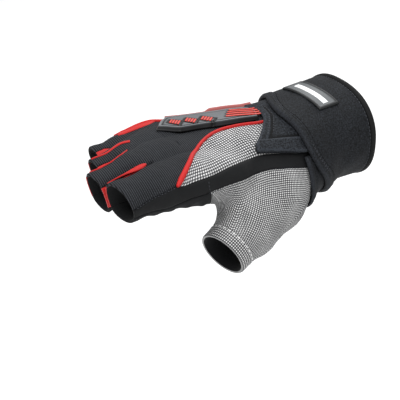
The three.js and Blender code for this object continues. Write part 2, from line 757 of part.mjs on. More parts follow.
put('wrist_wrap', woundStrip(wrapAngles, wrapLeft, () => -3.7, 5, wrapLow, wrapHigh), 'elastic');
const edgeAngles = wrapAngles.filter((angle) => angle < -150);
const bindingHigh = (angle) => wrapHigh(angle) + 0.3;
put('wrap_binding', woundStrip(edgeAngles, () => -3.3, () => 0, 1, wrapLow, bindingHigh), 'smooth');

// Moulded guard over the knuckles: near edge x, y and far edge x, y, from the tip to the wrist
const GUARD_EDGE = [
  [-130, 9, -128.4, 11.4, 0.7],
  [-125, 5.6, -122.4, 17.4, 0.9],
  [-118.6, 1.2, -115.4, 23.4, 1],
  [-112.5, 0, -108.6, 21.6, 1],
  [-106, -0.8, -102, 19.4, 1],
  [-99, -1.6, -96, 18, 1],
  [-92.5, -2.3, -90, 17, 1],
  [-86, -2.6, -84, 16, 1],
  [-79.5, -2.9, -78, 15, 1],
  [-73, -3.3, -71.5, 14.2, 0.85],
  [-66.8, -3.6, -65, 13.4, 0.65],
];
const GUARD_ACROSS = [2.4, 2.8, 2.9, 2.9, 2.9, 2.9, 2.8, 2.5, 1.8];
const GUARD_LOW = 0.4;

function guardHeight(s, t) {
  const q = clamp(t, 0, 1) * (GUARD_ACROSS.length - 1);
  const i = Math.min(Math.floor(q), GUARD_ACROSS.length - 2);
  const row = clamp(s, 0, GUARD_EDGE.length - 1);
  const k = Math.min(Math.floor(row), GUARD_EDGE.length - 2);
  const scale = lerp(GUARD_EDGE[k][4], GUARD_EDGE[k + 1][4], row - k);
  return GUARD_LOW + 0.3 + lerp(GUARD_ACROSS[i], GUARD_ACROSS[i + 1], q - i) * scale;
}

function guardPoint(s, t) {
  const row = clamp(s, 0, GUARD_EDGE.length - 1);
  const k = Math.min(Math.floor(row), GUARD_EDGE.length - 2);
  const edge = GUARD_EDGE[k].map((v, c) => lerp(v, GUARD_EDGE[k + 1][c], row - k));
  const wave = 3 * ease((s - 7) / 3) * Math.sin(Math.PI * t);
  return cast(...plumbRay(lerp(edge[0], edge[2], t) + wave, lerp(edge[1], edge[3], t), 1));
}

// Plate over the guard or the wrap: grid of guard coordinates, its lift and thickness
function guardPlate(grid, lift, thick) {
  const sheet = new Sheet();
  const lows = [];
  sheet.rows(grid.map((row) => row.map(([s, t]) => {
    const p = guardPoint(s, t);
    lows[sheet.point(p)] = guardHeight(s, t) + lift;
    return p;
  })));
  return wall(sheet, lows, lows.map((v) => v + thick), 0);
}

const guardSheet = new Sheet();
const guardHighs = [];
guardSheet.rows(range(GUARD_EDGE.length).map((s) => range(GUARD_ACROSS.length).map((j) => {
  const t = j / (GUARD_ACROSS.length - 1);
  const p = guardPoint(s, t);
  guardHighs[guardSheet.point(p)] = guardHeight(s, t);
  return p;
})));
put('knuckle_guard', wall(guardSheet, GUARD_LOW, guardHighs, 0), 'rubber');

// Three slanted cells and four long stripes on the guard
// Each cell: its middle as row and share across. Its sides run askew in plan, as CELL_AXES says.
const CELLS = [[2.1, 0.4], [3.55, 0.38], [5, 0.35]];
const CELL_AXES = [[0.77, 0.64], [0.62, -0.785]];
const CELL_HALF = [2.5, 2.9];
const ROW_STEP = 6.3;
const ROW_WIDTH = 20;
const ROW_SLANT = 3.3;
CELLS.forEach(([s, t], i) => {
  const grid = [-1, 0, 1].map((u) => [-1, 0, 1].map((v) => {
    const [dx, dy] = [0, 1].map((c) => (
      u * CELL_HALF[0] * CELL_AXES[0][c] + v * CELL_HALF[1] * CELL_AXES[1][c]
    ));
    const dt = dy / ROW_WIDTH;
    return [s + (dx - ROW_SLANT * dt) / ROW_STEP, t + dt];
  }));
  put(`guard_cell_${i + 1}`, guardPlate(grid, 0.4, 0.6), 'red');
});

// Each stripe: its first row, then its lower side's share across at its start and at its end
const STRIPES = [[6.9, 0.26, 0.13], [7.2, 0.41, 0.27], [7.6, 0.55, 0.41], [8, 0.7, 0.56]];
const STRIPE_WIDTH = 0.08;
STRIPES.forEach(([start, low, high], i) => {
  const grid = [0, STRIPE_WIDTH].map((w) => range(6).map((j) => (
    [lerp(start, 9.9, j / 5), lerp(low, high, j / 5) + w]
  )));
  put(`guard_stripe_${i + 1}`, guardPlate(grid, 0.4, 0.6), 'red');
});

// Rubber label on the wrap and the bare bar on it
function patch(angles, leftOf, rightOf, low, thick) {
  const grid = range(3).map((i) => angles.map((angle) => (
    handPoint(lerp(leftOf(angle), rightOf(angle), i / 2), angle)
  )));
  return wall(new Sheet().rows(grid), low, low + thick, 0);
}

const LABEL_ANGLES = range(10).map((i) => 57 + i * 6.8);
const wrapTop = WRAP_LIFT + WRAP_THICK;
const labelLeft = (angle) => lerp(-32.8, -34.6, (angle - 57) / 61);
const labelRight = (angle) => lerp(-18.2, -20.4, (angle - 57) / 61);
put('label', patch(LABEL_ANGLES, labelLeft, labelRight, wrapTop + 0.4, 1), 'label');
const barAngles = LABEL_ANGLES.slice(1, 9);
const barLeft = (angle) => labelLeft(angle) + 5;
const barRight = (angle) => labelRight(angle) - 3;
put('label_bar', patch(barAngles, barLeft, barRight, wrapTop + 1.8, 0.5), 'silver');

export default glove;
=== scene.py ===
"""Looks of a right-hand fitness glove without fingertips, worn form, with a wound wrist wrap."""

import json
import logging
import math
from dataclasses import dataclass, field
from enum import Enum
from functools import partial
from typing import Callable, Optional, Sequence

import bpy
import numpy as np
from mathutils import Matrix, Vector
from mathutils.kdtree import KDTree

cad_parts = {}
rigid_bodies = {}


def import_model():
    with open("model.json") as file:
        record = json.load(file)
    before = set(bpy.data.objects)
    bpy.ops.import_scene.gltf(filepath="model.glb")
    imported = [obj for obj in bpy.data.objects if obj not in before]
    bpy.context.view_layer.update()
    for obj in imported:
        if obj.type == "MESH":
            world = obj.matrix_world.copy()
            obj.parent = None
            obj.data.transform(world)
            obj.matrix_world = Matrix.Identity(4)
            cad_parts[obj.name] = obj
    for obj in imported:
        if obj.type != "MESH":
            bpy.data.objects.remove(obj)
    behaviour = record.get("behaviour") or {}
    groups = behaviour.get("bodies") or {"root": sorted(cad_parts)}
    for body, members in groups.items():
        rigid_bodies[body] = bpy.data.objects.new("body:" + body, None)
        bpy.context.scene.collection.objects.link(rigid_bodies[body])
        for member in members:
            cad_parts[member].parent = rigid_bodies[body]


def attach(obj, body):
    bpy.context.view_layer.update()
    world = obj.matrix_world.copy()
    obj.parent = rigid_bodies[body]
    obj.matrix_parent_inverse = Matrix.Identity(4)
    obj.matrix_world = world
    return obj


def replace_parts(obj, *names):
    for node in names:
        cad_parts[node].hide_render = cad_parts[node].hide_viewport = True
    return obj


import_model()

log = logging.getLogger("glove")
MM = 0.001
Array = np.ndarray
Rows = Sequence[Sequence[float]]
Pair = tuple[float, float]
Places = tuple[Array, Array]
Shape = tuple[Array, list]
Piece = bpy.types.Object
Tree = bpy.types.NodeTree
Socket = bpy.types.NodeSocket

# Sizes in millimetres and stations along the hand, as the frame has them
CLOTH = 1.3
LINING = 1.5
WRIST_X = -46.0
KNUCKLE_X = -129.0
HAND_STEPS = 14
WEB_STEPS = 5
SLEEVE_STEPS = 4
FIRST_SLEEVE = HAND_STEPS + WEB_STEPS + 1
STATIONS = HAND_STEPS + WEB_STEPS + SLEEVE_STEPS
MEET = FIRST_SLEEVE - 2
TAB_LIFT, TAB_THICK = 0.6, 1.7
WRAP_LIFT, WRAP_THICK = 2.8, 2.3

# Seams as x and degrees round the hand or a finger, from the wrist to the fingertips
PIPING_SEAM = [[-46, 70], [-58, 74], [-64, 76], [-69.5, 78.5], [-75.5, 82], [-81.5, 84],
               [-87.5, 84], [-93.5, 83.5], [-99.5, 81.5], [-105.5, 77.5], [-111, 73],
               [-117, 67], [-123, 60], [-129, 50], [-134.5, 42.5], [-140, 35.5], [-145.5, 28],
               [-151, 18.5]]
BAND_TOP = [[-46, 20], [-58, 24], [-70, 31], [-82, 36.5], [-87.5, 37], [-93.5, 36], [-99.5, 35],
            [-105.5, 33.5], [-111, 32], [-117, 29.5], [-123, 26.5], [-129, 24], [-134.5, 22],
            [-140, 19.5], [-145.5, 17.5], [-151, 16]]
BAND_LOW = [[-46, 2], [-54.5, 6], [-70, 14], [-84, 18], [-99, 14], [-115.6, 9], [-129, 0],
            [-140, -8], [-157, -19]]
FAR_SEAM = [[-46, 120], [-68, 124], [-85, 126], [-100, 128], [-112, 130], [-122, 134], [-130, 139]]
PALM_FAR = [[-46, -130], [-80, -135], [-130, -143]]
THUMB_SEAM = [[-46, -82], [-54, -82], [-62, -81.5], [-70, -80], [-78, -78], [-86, -75.5],
              [-94, -72], [-101.5, -67.5], [-108.5, -61.5], [-114.5, -54.5], [-119.5, -46.5],
              [-123.5, -37], [-126.5, -26], [-128.3, -13.5], [-129, 0]]
INDEX_TOP = [[-151, 25], [-158, 21], [-167, 15], [-176, 8], [-183, 5]]
INDEX_LOW = [[-157, -20], [-168, -26], [-181, -23]]
PINKY_FAR = [[-130, 108], [-136, 122], [-143, 142], [-150, 160], [-158, 170]]
BACK_NEAR = [[-129, 95], [-132.5, 88], [-139.3, 66], [-147, 39], *INDEX_TOP]
PALM_NEAR = [[-129, -5], [-140, -12], *INDEX_LOW]
# Angles round the fingers on both sides of a slit, where the back and the palm meet the red strips
BACK_EDGE_A = 137
BACK_EDGE_B = (45, 65, 72)
PALM_EDGE_A = -145
PALM_EDGE_B = -35
PALM_EDGE = [[0, PALM_EDGE_A], [-200, PALM_EDGE_A]]
# Reach in millimetres over which an outward direction is evened out
SMOOTH = 1.5
# Offsets over which a table's kinks are spread, in millimetres and in degrees
X_BLUR = (-1.5, 0.0, 1.5)
TURN_BLUR = tuple(np.linspace(-9, 9, 7))


def ease(t: Array) -> Array:
    """Smooth step, from 0 at and below 0 to 1 at and above 1."""
    c = np.clip(t, 0.0, 1.0)
    return c * c * (3 - 2 * c)


def along(rows: Rows, x: Array) -> Array:
    """Value of a table whose places run downwards, held at both ends."""
    table = np.asarray(rows, float)[::-1]
    return np.interp(x, table[:, 0], table[:, 1])


def flowing(rows: Rows, x: Array, blur: Sequence[float] = X_BLUR) -> Array:
    """Value of a table, its kinks spread over the blur."""
    return np.mean([along(rows, x + d) for d in blur], axis=0)


def mix(a: Array, b: Array, t: float) -> Array:
    """The value part of the way from a to b."""
    return a + (b - a) * t


def unit(v: Array) -> Array:
    """The vectors at length one."""
    return v / np.maximum(np.linalg.norm(v, axis=-1, keepdims=True), 1e-9)


def bell(distance: Array, width: float) -> Array:
    """1 where the distance is 0, falling to 0 within about twice the width."""
    return np.exp(-((distance / width) ** 2))


def soft_min(a: Array, b: Array, k: float) -> Array:
    """The lower value, with a rounded change between the two over k."""
    h = np.maximum(k - np.abs(a - b), 0) / k
    return np.minimum(a, b) - h * h * k / 4


def soft_max(a: Array, b: Array, k: float) -> Array:
    """The higher value, with a rounded change between the two over k."""
    return -soft_min(-a, -b, k)


@dataclass(frozen=True)
class HandForm:
    """The outside of the sewn panels as a signed distance in millimetres.

    Its fingers and the slits between them are counted from the thumb side.
    """

    body: Rows = (
        (25, 0, 1.0, 28.5, 24.5), (0, 0, 0.8, 28.0, 24.2), (-28, 0, 0.8, 27.5, 23.4),
        (-54, 0, 0.3, 28.5, 23.2), (-78, -1, 3.0, 32.0, 22.0), (-102, -1, 8.5, 37.0, 19.5),
        (-122, 0, 14.0, 39.5, 15.5), (-138, 0, 18.3, 38.5, 12.5), (-150, 0, 19.8, 37.0, 10.5),
        (-161, 0, 19.8, 35.5, 8.5))
    fingers: Sequence[Rows] = (
        ((-108, -27, 11, 12), (-134, -29, 17.5, 13), (-158, -30, 20.3, 12.3),
         (-180, -31, 20.3, 11.7), (-196, -32, 19, 11.5)),
        ((-110, -9, 13, 12), (-138, -10, 19.5, 13), (-160, -10.5, 20.5, 12.3),
         (-182, -11, 17, 11.7), (-198, -11, 13, 11.5)),
        ((-108, 9, 10, 12), (-132, 9, 15, 12.4), (-152, 9.3, 15.5, 12),
         (-169, 9.3, 12.8, 11.4), (-186, 9, 8, 11)),
        ((-100, 24, 8, 10.5), (-122, 26, 11.5, 11), (-142, 27.5, 11.5, 10.6),
         (-158, 28, 9.8, 10.2), (-176, 29, 7, 10)))
    thumb: Rows = ((-54, -13, -6, 19.2), (-76, -28, -14.5, 20.5), (-98, -37, -21.7, 17),
                   (-121, -43, -28.2, 13.9), (-138, -47, -34, 13.5))
    grooves: Sequence[float] = (-20.3, -0.8, 18.5)
    # x of each finger's opening, and how its plane leans with y and with z
    cuts: Rows = ((-181, -0.155, -0.22), (-182, -0.03, -0.27), (-169, 0, -0.31),
                  (-158, 0.05, -0.27))
    # x of each web on the back, on the palm and where the sleeves start
    webs: Rows = ((-156.5, -157, -167), (-155, -156, -166.5), (-145, -147, -154))
    power: float = 2.4
    end: float = -161.0
    # Widths over which the thumb, the fingers and the walls of the slits are rounded in
    thumb_blend: float = 18.0
    finger_blend: float = 7.0
    slit_blend: float = 5.0
    slit_half: float = 0.35

    def section(self, x: Array) -> Array:
        """Centre y, centre z, half breadth and half depth of the hand at x.

        Args:
            x: Stations.

        Returns:
            Four columns, one row for each station.
        """
        rows = np.asarray(self.body, float)
        q = np.clip(x, rows[-1, 0], rows[0, 0])
        i = np.clip(np.searchsorted(-rows[:, 0], -q, side="right") - 1, 0, len(rows) - 2)
        last = len(rows) - 1
        low = np.maximum(np.arange(len(rows)) - 1, 0)
        high = np.minimum(np.arange(len(rows)) + 1, last)
        slope = (rows[high] - rows[low]) / (rows[high, :1] - rows[low, :1])
        h = (rows[i + 1, 0] - rows[i, 0])[..., None]
        t = (q[..., None] - rows[i, :1]) / h
        return ((2 * t ** 3 - 3 * t ** 2 + 1) * rows[i, 1:]
                + (t ** 3 - 2 * t ** 2 + t) * h * slope[i, 1:]
                + (3 * t ** 2 - 2 * t ** 3) * rows[i + 1, 1:]
                + (t ** 3 - t ** 2) * h * slope[i + 1, 1:])

    def drop(self, x: Array, y: Array) -> Array:
        """How far the little finger's side of the hand lies below the rest."""
        far = np.maximum(y + 6, 0)
        return far * far * (0.0035 * ease((-70 - x) / 55) + 0.0025 * ease((-128 - x) / 22))

    def hand(self, p: Array) -> Array:
        """Distance to the wrist and hand without fingers.

        Args:
            p: Points.

        Returns:
            One distance for each.
        """
        x = p[:, 0] - ease((-95 - p[:, 0]) / 40) * 0.85 * np.maximum(p[:, 1] - 4, 0)
        z = p[:, 2] + self.drop(p[:, 0], p[:, 1])
        cy, cz, a, b = self.section(x).T
        ring = np.abs((p[:, 1] - cy) / a) ** self.power + np.abs((z - cz) / b) ** self.power
        side = (np.maximum(ring, 1e-9) ** (1 / self.power) - 1) * b * 0.9
        return soft_max(side, self.end - x, 8)

    def chain(self, p: Array, rows: Rows) -> Array:
        """Distance to a row of cones, which is a finger or the thumb.

        Args:
            p: Points.
            rows: x, y, z and radius of each joint.

        Returns:
            One distance for each point.
        """
        table = np.asarray(rows, float)
        best = None
        for a, b in zip(table[:-1], table[1:]):
            ba = b[:3] - a[:3]
            pa = p - a[:3]
            h = np.clip(pa @ ba / (ba @ ba), 0, 1)
            d = np.linalg.norm(pa - h[:, None] * ba, axis=1) - mix(a[3], b[3], h)
            best = d if best is None else soft_min(best, d, 3)
        return best

    def distance(self, p: Array) -> Array:
        """Signed distance, nearly, of points to the form.

        Args:
            p: Points in millimetres.

        Returns:
            One distance for each point, below zero inside.
        """
        hand = soft_min(self.hand(p), self.chain(p, self.thumb), self.thumb_blend)
        best = hand
        for i in range(4):
            d = self.chain(p, self.fingers[i])
            if i > 0:
                d = soft_max(d, self.grooves[i - 1] + self.slit_half - p[:, 1], self.slit_blend)
            if i < 3:
                d = soft_max(d, p[:, 1] - self.grooves[i] + self.slit_half, self.slit_blend)
            best = np.minimum(best, soft_min(hand, d, self.finger_blend))
        return best

    def slope(self, p: Array, e: float = 0.4) -> Array:
        """Slope of the distance at points.

        Args:
            p: Points.
            e: Half the step.

        Returns:
            One vector for each point.
        """
        out = np.empty_like(p)
        for axis in range(3):
            step = np.zeros(3)
            step[axis] = e
            out[:, axis] = (self.distance(p + step) - self.distance(p - step)) / (2 * e)
        return out

    def outward(self, points: Array, e: float = 0.4) -> Array:
        """Outward directions at points of any array shape."""
        return unit(self.slope(points.reshape(-1, 3), e)).reshape(points.shape)

    def settle(self, points: Array, rounds: int = 6) -> Array:
        """Moves points onto the form.

        Args:
            points: Array of points.
            rounds: How many steps are taken.

        Returns:
            The points on the form, in the same array shape.
        """
        p = points.reshape(-1, 3).copy()
        for _ in range(rounds):
            g = self.slope(p)
            value = self.distance(p)
            p -= g * (0.9 * value / np.maximum((g * g).sum(1), 0.25))[:, None]
        return p.reshape(points.shape)

    def cast(self, start: Array, guess: Array) -> Array:
        """First way out of the form from inner points towards a guess.

        Args:
            start: Inner points.
            guess: Points that they look at.

        Returns:
            Points on the form, in the array shape of start.
        """
        a = np.asarray(start, float).reshape(-1, 3)
        d = unit(np.asarray(guess, float).reshape(-1, 3) - a)
        s = np.zeros(len(a))
        live = np.ones(len(a), bool)
        for _ in range(90):
            value = self.distance(a[live] + d[live] * s[live, None])
            s[live] += np.where(value > -2e-4, 0, np.maximum(-value * 0.85, 1e-4))
            live[np.flatnonzero(live)[value > -2e-4]] = False
            if not live.any():
                break
        return (a + d * s[:, None]).reshape(np.shape(start))

    def hand_ray(self, x: Array, degrees: Array) -> Places:
        """Inner point and guess for an angle round the hand's section.

        Args:
            x: Places along the hand.
            degrees: Angles, from the thumb side over the back.

        Returns:
            Inner points and guesses.
        """
        x, degrees = np.broadcast_arrays(np.asarray(x, float), np.asarray(degrees, float))
        cy, cz, a, b = np.moveaxis(self.section(x), -1, 0)
        y = cy - a * np.cos(np.radians(degrees))
        room = np.maximum(a - b, 0) * 0.95
        inner = np.clip(y, cy - room, cy + room)
        top = cz + b * np.sin(np.radians(degrees)) - self.drop(x, y)
        return (np.stack([x, inner, cz - self.drop(x, inner)], -1), np.stack([x, y, top], -1))

    def hand_point(self, x: Array, degrees: Array) -> Array:
        """Points of the form at x and angle round the hand."""
        return self.cast(*self.hand_ray(x, degrees))

    def finger_ray(self, finger: int, x: Array, degrees: Array,
                   lean: float) -> Places:
        """Inner point and guess for an angle round a finger's section.

        Args:
            finger: Number of the finger.
            x: Places along it.
            degrees: Angles round it.
            lean: Share of the opening's lean.

        Returns:
            Inner points and guesses.
        """
        x, degrees = np.broadcast_arrays(np.asarray(x, float), np.asarray(degrees, float))
        table = np.asarray(self.fingers[finger], float)[::-1]
        y, z, r = (np.interp(x, table[:, 0], table[:, c]) for c in (1, 2, 3))
        dy = -r * np.cos(np.radians(degrees))
        dz = r * np.sin(np.radians(degrees))
        _, lean_y, lean_z = self.cuts[finger]
        side = np.clip(dy, -7, 7) * 0.35
        start = np.stack([x, y + side, z], -1)
        return start, np.stack([x + lean * (lean_y * dy + lean_z * dz), y + dy, z + dz], -1)

    def finger_point(self, finger: int, x: Array, degrees: Array,
                     lean: float) -> Array:
        """Points of the form at x and angle round a finger."""
        return self.cast(*self.finger_ray(finger, x, degrees, lean))

    def plumb_ray(self, x: Array, y: Array, sign: int) -> Places:
        """Rays straight up or straight down from the middle of the hand."""
        x, y = np.broadcast_arrays(np.asarray(x, float), np.asarray(y, float))
        z = self.section(x)[..., 1] - self.drop(x, y)
        return np.stack([x, y, z], -1), np.stack([x, y, z + 30 * sign], -1)


FORM = HandForm()


def station_x(k: int, tip: float, start: float, end: float) -> float:
    """x of a station, from those of the web's tip, the sleeve's start and its opening."""
    known = (0, HAND_STEPS, FIRST_SLEEVE - 1, FIRST_SLEEVE, STATIONS)
    return float(np.interp(k, known, (WRIST_X, KNUCKLE_X, tip, start, end)))


def lean_of(k: int) -> float:
    """How far a station already leans with the finger's opening."""
    return float(ease((k - FIRST_SLEEVE + 1) / SLEEVE_STEPS))


def near_x(k: int) -> float:
    """x of a station on the index finger's side."""
    return station_x(k, FORM.webs[0][0], FORM.webs[0][2], FORM.cuts[0][0])


def far_x(k: int) -> float:
    """x of a station on the little finger's side."""
    return station_x(k, FORM.webs[2][0], FORM.webs[2][2], FORM.cuts[3][0])


def spline(points: Array, where: Array, closed: bool = False) -> Array:
    """Smooth curve through points, along their first axis.

    Args:
        points: Array whose first axis is followed.
        where: Places, as index and fraction.
        closed: Whether the last point joins the first.

    Returns:
        The points of the curve.
    """
    n = len(points)
    i = np.floor(where).astype(int)
    if not closed:
        i = np.clip(i, 0, n - 2)
    t = (where - i).reshape((-1,) + (1,) * (points.ndim - 1))
    if closed:
        p = [points[(i + o) % n] for o in (-1, 0, 1, 2)]
    else:
        ends = np.concatenate([[2 * points[0] - points[1]], points, [2 * points[-1] - points[-2]]])
        p = [ends[i + 1 + o] for o in (-1, 0, 1, 2)]
    return 0.5 * (2 * p[1] + (p[2] - p[0]) * t + (2 * p[0] - 5 * p[1] + 4 * p[2] - p[3]) * t ** 2
                  + (3 * p[1] - p[0] - 3 * p[2] + p[3]) * t ** 3)


def places(cells: int, each: int, edge: float = 0.0) -> Array:
    """Places along a side of a sheet, with two more close to each end.

    Args:
        cells: Number of control cells.
        each: Places in each cell.
        edge: How far the added ones lie from the end, in cells.

    Returns:
        The places, from 0 to cells.
    """
    base = np.linspace(0, cells, cells * each + 1)
    if edge:
        extra = np.array([edge, 2.4 * edge])
        keep = (base > 3 * edge) & (base < cells - 3 * edge)
        base = np.concatenate([[0], extra, base[keep], cells - extra[::-1], [cells]])
    return base


@dataclass
class Sheet:
    """A sheet of cloth as grids of points on the form, which share their seams."""

    grids: list = field(default_factory=list)

    def lay(self, control: Array, each: tuple[int, int], closed: bool = False,
            edges: Pair = (0.06, 0.06)) -> "Sheet":
        """Adds a smooth grid through control points.

        Args:
            control: Rows and columns of points on the form.
            each: Places in a cell, along the rows and across them.
            closed: Whether the last column joins the first.
            edges: How far the added places lie from the ends, in cells.

        Returns:
            The sheet.
        """
        rows = places(control.shape[0] - 1, each[0], edges[0])
        count = control.shape[1]
        if closed:
            columns = np.linspace(0, count, count * each[1] + 1)
        else:
            columns = places(count - 1, each[1], edges[1])
        fine = spline(control, rows)
        fine = np.swapaxes(spline(np.swapaxes(fine, 0, 1), columns, closed), 0, 1)
        fine = FORM.settle(fine)
        if closed:
            fine[:, -1] = fine[:, 0]
        self.grids.append(fine)
        return self


@dataclass
class Crease:
    """A fold line of the cloth that lies on the form."""

    line: Rows
    depth: float
    width: float

    def height(self, p: Array) -> Array:
        """How far the crease lifts or sinks points.

        Args:
            p: Points.

        Returns:
            Heights in millimetres.
        """
        path = spline(np.asarray(self.line, float), np.linspace(0, len(self.line) - 1, 40))
        gap = np.full(len(p), 1e9)
        where = np.zeros(len(p))
        for i, q in enumerate(path):
            d = np.linalg.norm(p - q, axis=1)
            where = np.where(d < gap, i / 39, where)
            gap = np.minimum(gap, d)
        fade = np.sin(math.pi * np.clip(where, 0.04, 0.96)) ** 0.6
        return self.depth * fade * bell(gap, self.width)


def linear(hexa: str) -> tuple[float, float, float, float]:
    """Turns an sRGB hex colour into a linear one."""
    parts = [int(hexa[i:i + 2], 16) / 255 for i in (1, 3, 5)]
    curve = [v / 12.92 if v <= 0.04045 else ((v + 0.055) / 1.055) ** 2.4 for v in parts]
    return (*curve, 1.0)


def link(name: str, data: bpy.types.ID) -> Piece:
    """Makes an object of some data and links it to the scene."""
    made = bpy.data.objects.new(name, data)
    bpy.context.scene.collection.objects.link(made)
    return made


def new_piece(name: str, verts: Array, faces: Sequence[Sequence[int]],
              uvs: Optional[Array] = None) -> Piece:
    """Makes an object from points in millimetres.

    Args:
        name: Name of the piece.
        verts: Points in millimetres.
        faces: Corner indices of each face.
        uvs: Pattern places of each face corner, in millimetres.

    Returns:
        The object, smooth shaded.
    """
    mesh = bpy.data.meshes.new(name)
    mesh.from_pydata((np.asarray(verts) * MM).tolist(), [], [tuple(map(int, f)) for f in faces])
    if uvs is not None:
        layer = mesh.uv_layers.new(name="cloth")
        layer.data.foreach_set("uv", np.asarray(uvs, np.float32).ravel())
    mesh.validate()
    mesh.update()
    mesh.shade_smooth()
    return link(name, mesh)


def cumulative(grid: Array, axis: int) -> Array:
    """Length walked along one axis of a grid of points."""
    step = np.linalg.norm(np.diff(grid, axis=axis), axis=-1)
    pad = [(0, 0), (0, 0)]
    pad[axis] = (1, 0)
    return np.pad(np.cumsum(step, axis=axis), pad)


@dataclass
class Wall:
    """Turns a sheet into cloth with a thickness, rounded edges and a pattern map."""

    low: float = -CLOTH
    high: float = 0.0
    roll: float = 0.5
    reach: float = 0.9
    trim: float = 0.12
    relief: Optional[Callable[[Array], Array]] = None
    # Painted shade by place, added to the painted highlight along the edges
    painted_shade: Optional[Callable[[Array], Array]] = None
    dark_rim: bool = False

    def build(self, name: str, sheet: Sheet, start: float = 0.0) -> Piece:
        """Builds the closed cloth.

        Args:
            name: Name of the piece.
            sheet: The sheet on the form.
            start: Column, from 0 to 1, from which the pattern is measured.

        Returns:
            The object.
        """
        keys: dict = {}
        points, quads, maps = [], [], []
        for grid in sheet.grids:
            around = cumulative(grid, 1)
            around = around - around[:, [int(start * (grid.shape[1] - 1))]]
            down = cumulative(grid, 0)
            ids = np.empty(grid.shape[:2], int)
            for i in range(grid.shape[0]):
                for j in range(grid.shape[1]):
                    key = tuple(np.round(grid[i, j] * 200).astype(int))
                    if key not in keys:
                        keys[key] = len(points)
                        points.append(grid[i, j])
                    ids[i, j] = keys[key]
            for i in range(grid.shape[0] - 1):
                for j in range(grid.shape[1] - 1):
                    corner = ((i, j), (i, j + 1), (i + 1, j + 1), (i + 1, j))
                    ring = [ids[c] for c in corner]
                    kept = [n for n in range(4) if ring[n] not in ring[:n]]
                    if len(kept) < 3:
                        continue
                    quads.append([ring[n] for n in kept])
                    maps.append([(around[corner[n]], down[corner[n]]) for n in kept])
        return self.close(name, np.array(points), quads, maps)

    def close(self, name: str, points: Array, quads: list, maps: list) -> Piece:
        """Gives faces on the form their thickness.

        Args:
            name: Name of the piece.
            points: Points on the form.
            quads: Faces by point.
            maps: Pattern places of each face's corners.

        Returns:
            The object.
        """
        normals = FORM.outward(points)
        f = quads[len(quads) // 2]
        facing = np.cross(points[f[1]] - points[f[0]], points[f[2]] - points[f[0]])
        if facing @ normals[f[0]] < 0:
            quads = [q[::-1] for q in quads]
            maps = [m[::-1] for m in maps]
        sides = dict.fromkeys(pair for q in quads for pair in zip(q, q[1:] + q[:1]))
        border = [(a, b) for a, b in sides if (b, a) not in sides]
        points = points.copy()
        gap = np.full(len(points), 1e3)
        if border:
            rim = sorted({v for pair in border for v in pair})
            gap = apart(points, points[rim])
            gap[rim] = 0
            push = np.zeros_like(points)
            for a, b in border:
                side = unit(np.cross(normals[a], points[b] - points[a]))
                push[a] += side
                push[b] += side
            points[rim] += unit(push[rim]) * self.trim
        tops = self.high - self.roll * (1 - ease(gap / self.reach)) ** 1.6
        if self.relief:
            tops = tops + self.relief(points) * ease(gap / 2.5)
        n = len(points)
        verts = two_sided(points, normals, tops, self.low)
        faces = list(quads) + [[n + v for v in q[::-1]] for q in quads]
        uvs = [m for quad in maps for m in quad] + [m for quad in maps for m in quad[::-1]]
        for a, b in border:
            faces.append([b, a, n + a, n + b])
            uvs.extend([(0, 0)] * 4)
        piece = new_piece(name, verts, faces, np.array(uvs))
        inner = np.zeros(len(piece.data.polygons), np.int32)
        inner[len(quads):(len(faces) if self.dark_rim else 2 * len(quads))] = 1
        piece.data.polygons.foreach_set("material_index", inner)
        # Painted highlight in a band just inside each edge, where the cloth rolls over, with any
        # painted shade added
        painted_light = 0.55 * bell(gap - 0.7, 0.6)
        if self.painted_shade:
            painted_light = painted_light + self.painted_shade(points)
        paint(piece, "painted_light", np.concatenate([painted_light, np.zeros(n)]))
        return piece


def paint(piece: Piece, name: str, values: Array) -> None:
    """Stores a number at each point of a piece, for its material to read."""
    layer = piece.data.attributes.new(name, "FLOAT", "POINT")
    layer.data.foreach_set("value", values.astype(np.float32))


def apart(points: Array, path: Array) -> Array:
    """Distance from points to the nearest point of a path."""
    tree = KDTree(len(path))
    for i, place in enumerate(path):
        tree.insert(place, i)
    tree.balance()
    return np.array([tree.find(q)[2] for q in points])


def two_sided(base: Array, normals: Array, high: Array, low: Array) -> Array:
    """The points of a top side and after them those of an underside, at heights over a base."""
    return np.concatenate([base + normals * np.reshape(height, (-1, 1)) for height in (high, low)])


def closed_plate(rows: int, columns: int) -> list:
    """Faces of a grid with an upper and a lower side and a wall round it.

    Args:
        rows: Number of rows of each side.
        columns: Number of columns.

    Returns:
        Corner indices of each face.
    """
    faces = []
    under = rows * columns
    for i in range(rows - 1):
        for j in range(columns - 1):
            a, b = i * columns + j, (i + 1) * columns + j
            q = [a, a + 1, b + 1, b]
            faces += [q, [under + v for v in q[::-1]]]
    rim = list(range(columns)) + [i * columns + columns - 1 for i in range(1, rows)]
    rim += [(rows - 1) * columns + j for j in range(columns - 2, -1, -1)]
    rim += [i * columns for i in range(rows - 2, 0, -1)]
    return faces + [[b, a, under + a, under + b] for a, b in zip(rim, rim[1:] + rim[:1])]


def edit(piece: Piece) -> None:
    """Opens a piece in edit mode, all of it selected and nothing else."""
    bpy.ops.object.select_all(action="DESELECT")
    bpy.context.view_layer.objects.active = piece
    piece.select_set(True)
    bpy.ops.object.mode_set(mode="EDIT")
    bpy.ops.mesh.select_all(action="SELECT")


def fix_normals(piece: Piece) -> None:
    """Turns the faces of a closed piece outwards."""
    edit(piece)
    bpy.ops.mesh.normals_make_consistent(inside=False)
    bpy.ops.object.mode_set(mode="OBJECT")
    piece.select_set(False)


def slab(name: str, shape: tuple[int, int], verts: Array, layer: str,
         values: Sequence[Array]) -> Piece:
    """Makes a closed plate from the points of a grid's top side and underside.

    Args:
        name: Name of the piece.
        shape: Rows and columns of the grid.
        verts: Points of the top side, then of the underside.
        layer: The attribute that the material reads.
        values: Its values on the top side and on the underside.

    Returns:
        The piece.
    """
    piece = new_piece(name, verts, closed_plate(*shape))
    paint(piece, layer, np.concatenate(values))
    fix_normals(piece)
    return piece


